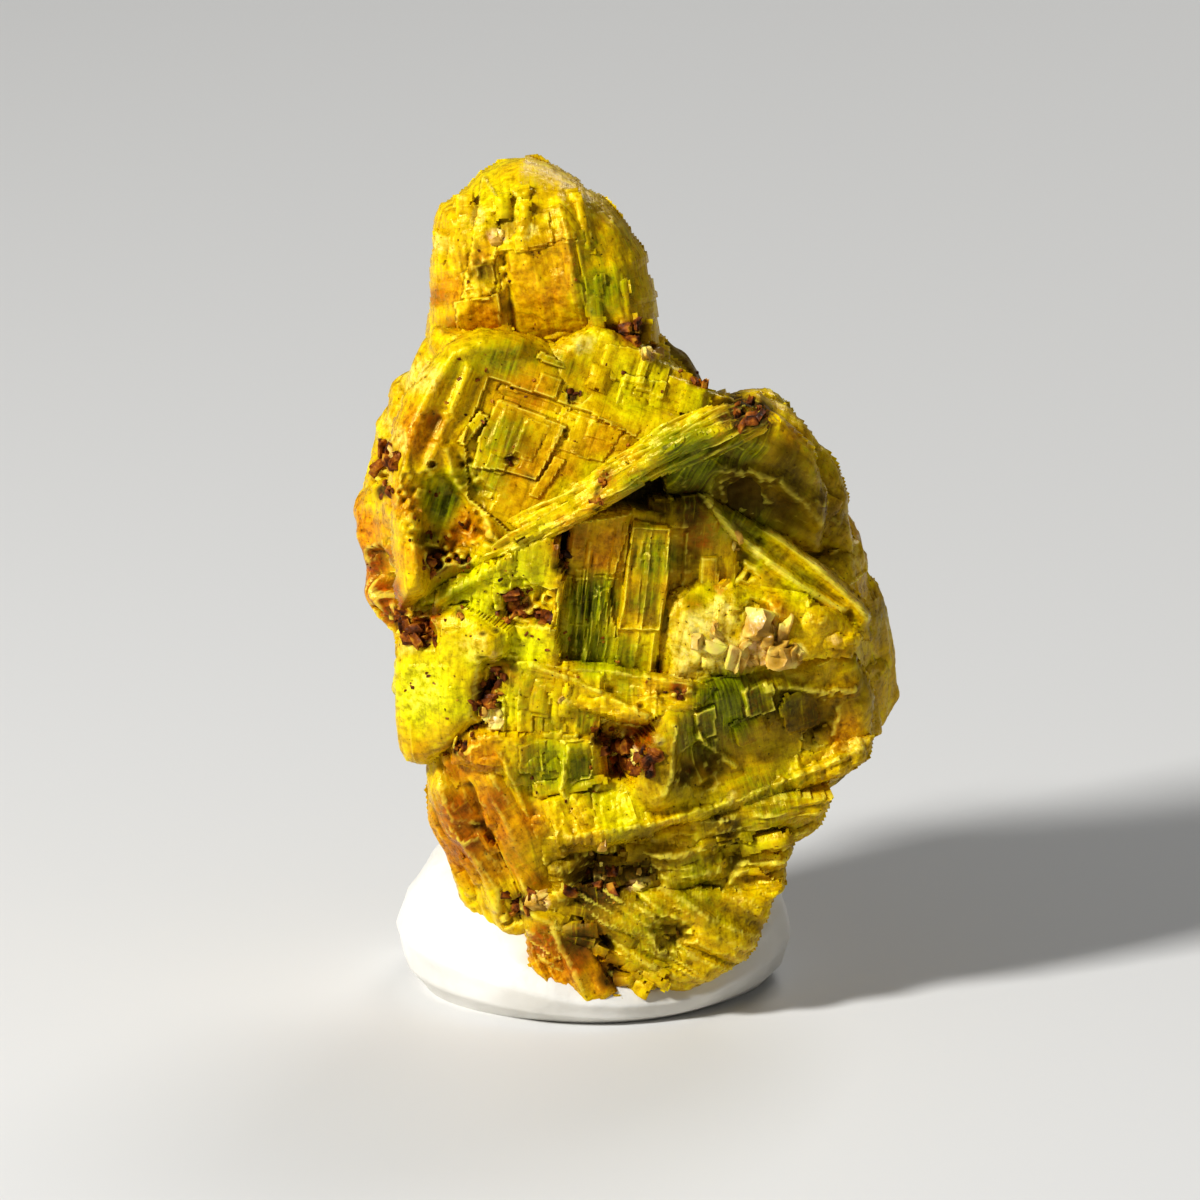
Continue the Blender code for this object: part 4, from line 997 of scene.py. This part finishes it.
def strewn_crumbs(name, spots, hosts, seed):
    """Copies of three broken grains, each lying in the surface that shows at its point."""
    rng = np.random.default_rng(seed)
    models = [crumb("crumb", seed + 20 * k) for k in range(3)]
    made = []
    for x, y, radius, count, size in spots:
        for _ in range(count):
            angle, out = rng.uniform(0, 2 * math.pi), radius * math.sqrt(rng.uniform())
            way = Vector(sight(x + out * math.cos(angle), y + out * math.sin(angle))).normalized()
            hits = [host.ray_cast(Vector(EYE * MM), way) for host in hosts]
            hits = [place for found, place, normal, index in hits if found]
            turned, grown = rng.uniform(0, 2 * math.pi, 3), size * rng.uniform(0.4, 1.5)
            if not hits:
                continue
            place = min(hits, key=lambda at: (at - Vector(EYE * MM)).length) + way * 0.12 * grown * MM
            copy = bpy.data.objects.new("crumb", models[rng.integers(3)].data.copy())
            bpy.context.scene.collection.objects.link(copy)
            turn = Matrix.Rotation(turned[0], 4, "X") @ Matrix.Rotation(turned[1], 4, "Y")
            copy.data.transform(Matrix.Translation(place) @ turn @ Matrix.Scale(grown * MM, 4))
            made.append(copy)
    for model in models:
        bpy.data.objects.remove(model)
    deselect()
    for copy in made:
        copy.select_set(True)
    bpy.context.view_layer.objects.active = made[0]
    bpy.ops.object.join()
    made[0].name = name
    return made[0]


# Materials

def linear(hex_colour):
    """An sRGB hex colour as linear red, green, blue and full alpha."""
    parts = [int(hex_colour[k:k + 2], 16) / 255 for k in (1, 3, 5)]
    return (*((c / 12.92 if c <= 0.04045 else ((c + 0.055) / 1.055) ** 2.4) for c in parts), 1.0)


def node(tree, kind, links=None, values=None, stops=None, **settings):
    """Adds a node, sets its properties, its unlinked inputs and its ramp's stops, and links the rest."""
    made = tree.nodes.new(kind)
    for key, value in settings.items():
        setattr(made, key, value)
    for key, value in (values or {}).items():
        made.inputs[key].default_value = value
    for key, source in (links or {}).items():
        tree.links.new(source, made.inputs[key])
    for count, (place, hex_colour) in enumerate(stops or ()):
        elements = made.color_ramp.elements
        element = elements[count] if count < 2 else elements.new(place)
        element.position = place
        element.color = linear(hex_colour)
    return made


def uranocircite():
    """Cleaved uranocircite, a soft layered barium uranyl phosphate, grown and weathered, not polished.

    It gives glassy to pearly cleavage faces, strong lemon to olive colour seen into its thin sheets,
    bright broken sheet edges as painted highlights with painted shadow below their steps, painted shade in
    the hollows and where the specimen lies in shade, and orange to brown iron staining with dark crusts in the hollows.
    """
    made = bpy.data.materials.new("cleaved_uranocircite")
    made.use_nodes = True
    tree = made.node_tree
    shader = tree.nodes["Principled BSDF"]
    leaf = node(tree, "ShaderNodeAttribute", attribute_name="leaf").outputs["Vector"]
    tones = node(tree, "ShaderNodeAttribute", attribute_name="tones")
    washes = node(tree, "ShaderNodeAttribute", attribute_name="washes")
    crusts = node(tree, "ShaderNodeAttribute", attribute_name="crusts")
    tone = node(tree, "ShaderNodeSeparateColor", {0: tones.outputs["Color"]}).outputs
    wash = node(tree, "ShaderNodeSeparateColor", {0: washes.outputs["Color"]}).outputs
    crust = node(tree, "ShaderNodeSeparateColor", {0: crusts.outputs["Color"]}).outputs
    edge, hollow_shade, gold, olive = tone[0], tone[1], tone[2], tones.outputs["Alpha"]
    lime, painted_shade, pale, pink = wash[0], wash[1], wash[2], washes.outputs["Alpha"]
    rust, brown = crust[0], crust[1]
    place = node(tree, "ShaderNodeTexCoord").outputs["Object"]

    # Clouds of colour are about 1 mm across, mottling 0.15 mm and grains of dirt 0.05 mm
    clouds = node(tree, "ShaderNodeTexNoise", {0: place}, {"Scale": 1100.0, "Detail": 4.0}).outputs[0]
    mottle = node(tree, "ShaderNodeTexNoise", {0: place},
                  {"Scale": 6500.0, "Detail": 4.0, "Roughness": 0.65}).outputs[0]
    grains = node(tree, "ShaderNodeTexNoise", {0: place}, {"Scale": 13000.0, "Detail": 2.0}).outputs[0]
    # Cleavage lines run both ways along the sheets, drawn 0.05 to 0.1 mm apart so that they show
    upright, level, stack = (
        node(tree, "ShaderNodeTexNoise",
             {0: node(tree, "ShaderNodeMapping", {0: leaf}, {"Scale": stretch}).outputs[0]},
             {"Scale": 1.0, "Detail": 3.0, "Roughness": 0.6}).outputs[0]
        for stretch in ((14.0, 0.8, 0.5), (0.8, 11.0, 0.5), (0.5, 0.5, 14.0)))
    patches = node(tree, "ShaderNodeTexNoise",
                   {0: node(tree, "ShaderNodeMapping", {0: leaf}, {"Scale": (1.6, 1.1, 12.0)}).outputs[0]},
                   {"Scale": 1.0, "Detail": 4.0, "Roughness": 0.6}).outputs[0]

    blend = node(tree, "ShaderNodeMath", {0: patches, 2: mottle}, {1: 1.2}, operation="MULTIPLY_ADD").outputs[0]
    colour = node(tree, "ShaderNodeValToRGB",
                  {0: node(tree, "ShaderNodeMath", {0: blend}, {1: 0.45}, operation="MULTIPLY").outputs[0]},
                  stops=((0.30, "#8C6C00"), (0.72, "#F4DE00"), (0.42, "#C09800"), (0.51, "#DAB400"),
                         (0.60, "#E8CC00"))).outputs[0]
    layers = (
        (gold, clouds, mottle, ((0.30, "#844800"), (0.72, "#F0AE00"), (0.45, "#B87000"), (0.58, "#D89200"))),
        (lime, clouds, mottle, ((0.30, "#9A8E00"), (0.70, "#F6F000"), (0.45, "#CCC400"), (0.57, "#E4DE00"))),
        # painted shade, dark brown-olive, where the specimen lies in shade
        (painted_shade, clouds, mottle, ((0.32, "#2A1C00"), (0.70, "#9A7C00"), (0.45, "#523C00"), (0.57, "#745800"))),
        (olive, mottle, upright, ((0.32, "#2C3006"), (0.70, "#A8B000"), (0.45, "#545C06"), (0.57, "#808A02"))),
        (pale, mottle, mottle, ((0.35, "#DCBC30"), (0.60, "#F4E47C"))),
        (rust, mottle, mottle, ((0.32, "#3A0E00"), (0.68, "#C06400"), (0.48, "#802E00"))),
        (pink, mottle, mottle, ((0.35, "#B07840"), (0.60, "#EAC48C"))),
        (brown, mottle, grains, ((0.34, "#0C0400"), (0.66, "#5E3008"), (0.50, "#241000"))),
    )
    for share, warp, depth, stops in layers:
        spread = node(tree, "ShaderNodeMath", {0: warp}, {1: 1.7, 2: -1.32}, operation="MULTIPLY_ADD").outputs[0]
        cover = node(tree, "ShaderNodeMath", {0: share, 2: spread}, {1: 1.45}, operation="MULTIPLY_ADD",
                     use_clamp=True).outputs[0]
        tint = node(tree, "ShaderNodeValToRGB", {0: depth}, stops=stops).outputs[0]
        colour = node(tree, "ShaderNodeMix", {0: cover, 6: colour, 7: tint}, data_type="RGBA").outputs[2]

    # Lines, painted highlights and shadows at sheet edges, painted shade in hollows, and dirt: what drives them, from
    # and to which value, how much, and the colour
    details = (
        (upright, 0.60, 0.74, 0.25, "#F6E000"),
        (upright, 0.42, 0.30, 0.25, "#4A3A00"),
        (level, 0.62, 0.76, 0.25, "#F6E000"),
        (level, 0.40, 0.28, 0.18, "#4A3A00"),
        (stack, 0.42, 0.30, 0.35, "#4A3400"),
        # painted highlight along raised sheet edges
        (edge, 0.62, 0.95, 0.50, "#FFF060"),
        # painted shadow below sheet edges
        (edge, 0.36, 0.10, 0.45, "#523800"),
        # painted shade in hollows, dark brown
        (hollow_shade, 0.15, 0.9, 0.75, "#3E2400"),
        (grains, 0.29, 0.26, 0.9, "#241000"),
    )
    for source, start, end, most, hex_colour in details:
        cover = node(tree, "ShaderNodeMapRange", {0: source}, {1: start, 2: end, 3: 0.0, 4: most}).outputs[0]
        colour = node(tree, "ShaderNodeMix", {0: cover, 6: colour}, {7: linear(hex_colour)},
                      data_type="RGBA").outputs[2]
    tree.links.new(colour, shader.inputs["Base Color"])

    # Fresh cleavage is glassy, dirt and iron crust are dull
    dull = node(tree, "ShaderNodeMath", {0: brown, 2: mottle}, {1: 0.6}, operation="MULTIPLY_ADD").outputs[0]
    gloss = node(tree, "ShaderNodeMapRange", {0: dull}, {1: 0.35, 2: 1.0, 3: 0.20, 4: 0.75}).outputs[0]
    tree.links.new(gloss, shader.inputs["Roughness"])
    shader.inputs["IOR"].default_value = 1.58
    shader.inputs["Specular IOR Level"].default_value = 0.5
    shader.inputs["Specular Tint"].default_value = linear("#FFE480")
    shader.inputs["Subsurface Weight"].default_value = 0.35
    shader.inputs["Subsurface Radius"].default_value = (1.0, 0.75, 0.05)
    shader.inputs["Subsurface Scale"].default_value = 0.0003
    ribs = node(tree, "ShaderNodeMath", {0: upright, 1: level}, operation="ADD").outputs[0]
    height = node(tree, "ShaderNodeMath", {0: mottle, 2: ribs}, {1: 1.5}, operation="MULTIPLY_ADD").outputs[0]
    bump = node(tree, "ShaderNodeBump", {"Height": height}, {"Strength": 0.5, "Distance": 0.00003}).outputs[0]
    tree.links.new(bump, shader.inputs["Normal"])
    return made


def iron_crust():
    """Limonite and other iron oxides, earthy crusts that grew in the pits and dried there.

    They are dull, dark red-brown to black, with rusty dust on them and a few glints.
    """
    made = bpy.data.materials.new("earthy_limonite")
    made.use_nodes = True
    tree = made.node_tree
    shader = tree.nodes["Principled BSDF"]
    place = node(tree, "ShaderNodeTexCoord").outputs["Object"]
    broad = node(tree, "ShaderNodeTexNoise", {0: place}, {"Scale": 4000.0, "Detail": 4.0}).outputs[0]
    fine = node(tree, "ShaderNodeTexNoise", {0: place}, {"Scale": 22000.0, "Detail": 3.0}).outputs[0]
    colour = node(tree, "ShaderNodeValToRGB", {0: broad},
                  stops=((0.34, "#2A1400"), (0.66, "#C08A20"), (0.46, "#643000"), (0.56, "#945408"))).outputs[0]
    tree.links.new(colour, shader.inputs["Base Color"])
    dull = node(tree, "ShaderNodeMapRange", {0: fine}, {1: 0.35, 2: 0.65, 3: 0.45, 4: 0.9}).outputs[0]
    tree.links.new(dull, shader.inputs["Roughness"])
    shader.inputs["Specular IOR Level"].default_value = 0.25
    bump = node(tree, "ShaderNodeBump", {"Height": fine}, {"Strength": 0.7, "Distance": 0.00002}).outputs[0]
    tree.links.new(bump, shader.inputs["Normal"])
    return made


def rock_grains():
    """Pale feldspar and quartz crumbs of the rock that the crystals grew on, broken, not worn.

    They are cream to pinkish, dusty on old faces and faintly glassy on fresh ones.
    """
    made = bpy.data.materials.new("broken_feldspar")
    made.use_nodes = True
    tree = made.node_tree
    shader = tree.nodes["Principled BSDF"]
    place = node(tree, "ShaderNodeTexCoord").outputs["Object"]
    broad = node(tree, "ShaderNodeTexNoise", {0: place}, {"Scale": 1800.0, "Detail": 4.0}).outputs[0]
    fine = node(tree, "ShaderNodeTexNoise", {0: place}, {"Scale": 16000.0, "Detail": 3.0}).outputs[0]
    colour = node(tree, "ShaderNodeValToRGB", {0: broad},
                  stops=((0.36, "#A47A10"), (0.64, "#F0E058"), (0.46, "#D0A440"), (0.55, "#E6CC68"))).outputs[0]
    tree.links.new(colour, shader.inputs["Base Color"])
    gloss = node(tree, "ShaderNodeMapRange", {0: fine}, {1: 0.35, 2: 0.65, 3: 0.25, 4: 0.7}).outputs[0]
    tree.links.new(gloss, shader.inputs["Roughness"])
    shader.inputs["Subsurface Weight"].default_value = 0.25
    shader.inputs["Subsurface Radius"].default_value = (1.0, 0.7, 0.4)
    shader.inputs["Subsurface Scale"].default_value = 0.00015
    bump = node(tree, "ShaderNodeBump", {"Height": fine}, {"Strength": 0.4, "Distance": 0.00002}).outputs[0]
    tree.links.new(bump, shader.inputs["Normal"])
    return made


def white_putty():
    """White mounting putty, a filled oily dough, rolled and pressed by hand.

    It is matt with a faint oily sheen, and keeps shallow dimples and streaks where it was rolled.
    """
    made = bpy.data.materials.new("pressed_white_putty")
    made.use_nodes = True
    tree = made.node_tree
    shader = tree.nodes["Principled BSDF"]
    place = node(tree, "ShaderNodeTexCoord").outputs["Object"]
    broad = node(tree, "ShaderNodeTexNoise", {0: place}, {"Scale": 500.0, "Detail": 3.0}).outputs[0]
    fine = node(tree, "ShaderNodeTexNoise", {0: place}, {"Scale": 6000.0, "Detail": 3.0}).outputs[0]
    colour = node(tree, "ShaderNodeValToRGB", {0: broad}, stops=((0.3, "#D2CEC4"), (0.6, "#E4E1D9"))).outputs[0]
    tree.links.new(colour, shader.inputs["Base Color"])
    sheen = node(tree, "ShaderNodeMapRange", {0: fine}, {1: 0.3, 2: 0.7, 3: 0.42, 4: 0.62}).outputs[0]
    tree.links.new(sheen, shader.inputs["Roughness"])
    shader.inputs["Subsurface Weight"].default_value = 0.15
    shader.inputs["Subsurface Radius"].default_value = (1.0, 0.9, 0.8)
    shader.inputs["Subsurface Scale"].default_value = 0.0004
    height = node(tree, "ShaderNodeMath", {0: fine, 2: broad}, {1: 0.4}, operation="MULTIPLY_ADD").outputs[0]
    bump = node(tree, "ShaderNodeBump", {"Height": height}, {"Strength": 0.3, "Distance": 0.00008}).outputs[0]
    tree.links.new(bump, shader.inputs["Normal"])
    return made


def pale_floor():
    """A plain painted board, matt and even."""
    made = bpy.data.materials.new("pale_painted_board")
    made.use_nodes = True
    shader = made.node_tree.nodes["Principled BSDF"]
    shader.inputs["Base Color"].default_value = linear("#D6D5D2")
    shader.inputs["Roughness"].default_value = 0.6
    return made


# The putty

PUTTY_WIDTH, PUTTY_DEPTH, PUTTY_HEIGHT = 7.8, 7.4, 3.3
PUTTY_DIP = 0.6
PUTTY_FRONT = math.radians(-68)
PUTTY_PROFILE = ((0.0, 0.88), (0.12, 0.965), (0.32, 1.0), (0.52, 0.95), (0.70, 0.83), (0.85, 0.64), (0.95, 0.38))
PUTTY_FOOT = 0.3


def putty_piece():
    """A ball of putty pressed flat below, lower in front, and lumpy all round."""
    bpy.ops.mesh.primitive_uv_sphere_add(segments=160, ring_count=70, radius=1)
    obj = bpy.context.object
    obj.name = "putty"
    mesh = obj.data
    points = np.empty(len(mesh.vertices) * 3)
    mesh.vertices.foreach_get("co", points)
    points = points.reshape(-1, 3)
    levels = [level for level, share in PUTTY_PROFILE] + [1.0]
    shares = [share for level, share in PUTTY_PROFILE] + [0.0]
    angle = np.arctan2(points[:, 1], points[:, 0])
    turn = np.arccos(np.clip(-points[:, 2], -1, 1)) / math.pi
    rise = np.clip((turn - PUTTY_FOOT) / (1 - PUTTY_FOOT), 0, 1)
    level = 0.5 - 0.5 * np.cos(math.pi * rise)
    share = np.where(rise > 0, np.interp(level, levels, shares), shares[0] * turn / PUTTY_FOOT)
    lumpy = 1.0 + 0.022 * np.sin(3 * angle + 0.6) + 0.014 * np.sin(5 * angle + 2.0)
    dip = PUTTY_DIP * np.maximum(0.0, np.cos(angle - PUTTY_FRONT)) ** 2
    places = np.stack([PUTTY_WIDTH / 2 * share * lumpy * np.cos(angle),
                       PUTTY_DEPTH / 2 * share * lumpy * np.sin(angle), level * PUTTY_HEIGHT * (1 - dip)], axis=1)
    press = 0.03 * value_noise(places, 1.3, 21) + 0.008 * value_noise(places, 0.35, 22)
    places *= (1.0 + press * np.minimum(1.0, level * 5))[:, None]
    mesh.vertices.foreach_set("co", (places * MM).ravel())
    only(obj)
    bpy.ops.object.shade_smooth()
    return obj


# Floor, lights and camera

def look_at(obj, place, target):
    obj.location = place
    obj.rotation_mode = "QUATERNION"
    obj.rotation_quaternion = (Vector(target) - Vector(place)).to_track_quat("-Z", "Y")


def lamp(name, place, target, watts, size):
    data = bpy.data.lights.new(name, "AREA")
    data.energy = watts
    data.size = size
    obj = bpy.data.objects.new(name, data)
    bpy.context.scene.collection.objects.link(obj)
    look_at(obj, place, target)


def stage():
    bpy.ops.mesh.primitive_plane_add(size=1.2)
    floor = bpy.context.object
    floor.name = "floor"
    floor.data.materials.append(pale_floor())
    middle = (0.0003, 0.0, 0.008)
    lamp("key", (-0.13, -0.10, 0.13), middle, 0.52, 0.035)
    lamp("fill", (0.16, -0.12, 0.06), middle, 0.02, 0.12)
    lamp("back", (0.06, 0.14, 0.14), middle, 0.10, 0.08)
    world = bpy.data.worlds.new("studio")
    bpy.context.scene.world = world
    world.use_nodes = True
    world.node_tree.nodes["Background"].inputs[0].default_value = linear("#C8CCD2")
    world.node_tree.nodes["Background"].inputs[1].default_value = 0.16
    bpy.context.scene.view_settings.view_transform = "Standard"
    bpy.context.scene.view_settings.look = "Medium High Contrast"


def camera():
    """A long macro lens at the photograph's height, 1200 points across 24 mm."""
    data = bpy.data.cameras.new("camera")
    obj = bpy.data.objects.new("camera", data)
    bpy.context.scene.collection.objects.link(obj)
    data.sensor_width = 36
    data.lens = VIEW_DISTANCE / (1200 * POINT) * data.sensor_width
    data.clip_start = 0.001
    data.clip_end = 20
    look_at(obj, EYE * MM, VIEW_CENTRE * MM)
    bpy.context.scene.camera = obj


# The specimen

deselect()
mineral = uranocircite()
groups = (
    crystals("crown", CROWN, 3),
    crystals("framed_plate", PLATE, 5),
    crystals("shoulder_group", SHOULDER, 7),
    crystals("window_group", WINDOWS, 11),
    crystals("lower_group", LOWER, 13),
    crystals("rear_group", REAR, 17, ("heart", "shoulder_heart")),
)
crusts = strewn_crumbs("iron_crumbs", RUSTY_CRUMBS, groups, 300)
grains = strewn_crumbs("rock_crumbs", PALE_CRUMBS, groups, 400)
finishes = [mineral] * len(groups) + [iron_crust(), rock_grains()]
for group, finish in zip(groups + (crusts, grains), finishes):
    group.data.materials.clear()
    group.data.materials.append(finish)
    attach(group, "root")
    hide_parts("crystal_cluster")
putty = putty_piece()
putty.data.materials.append(white_putty())
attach(putty, "root")
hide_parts("putty_base")
stage()
camera()
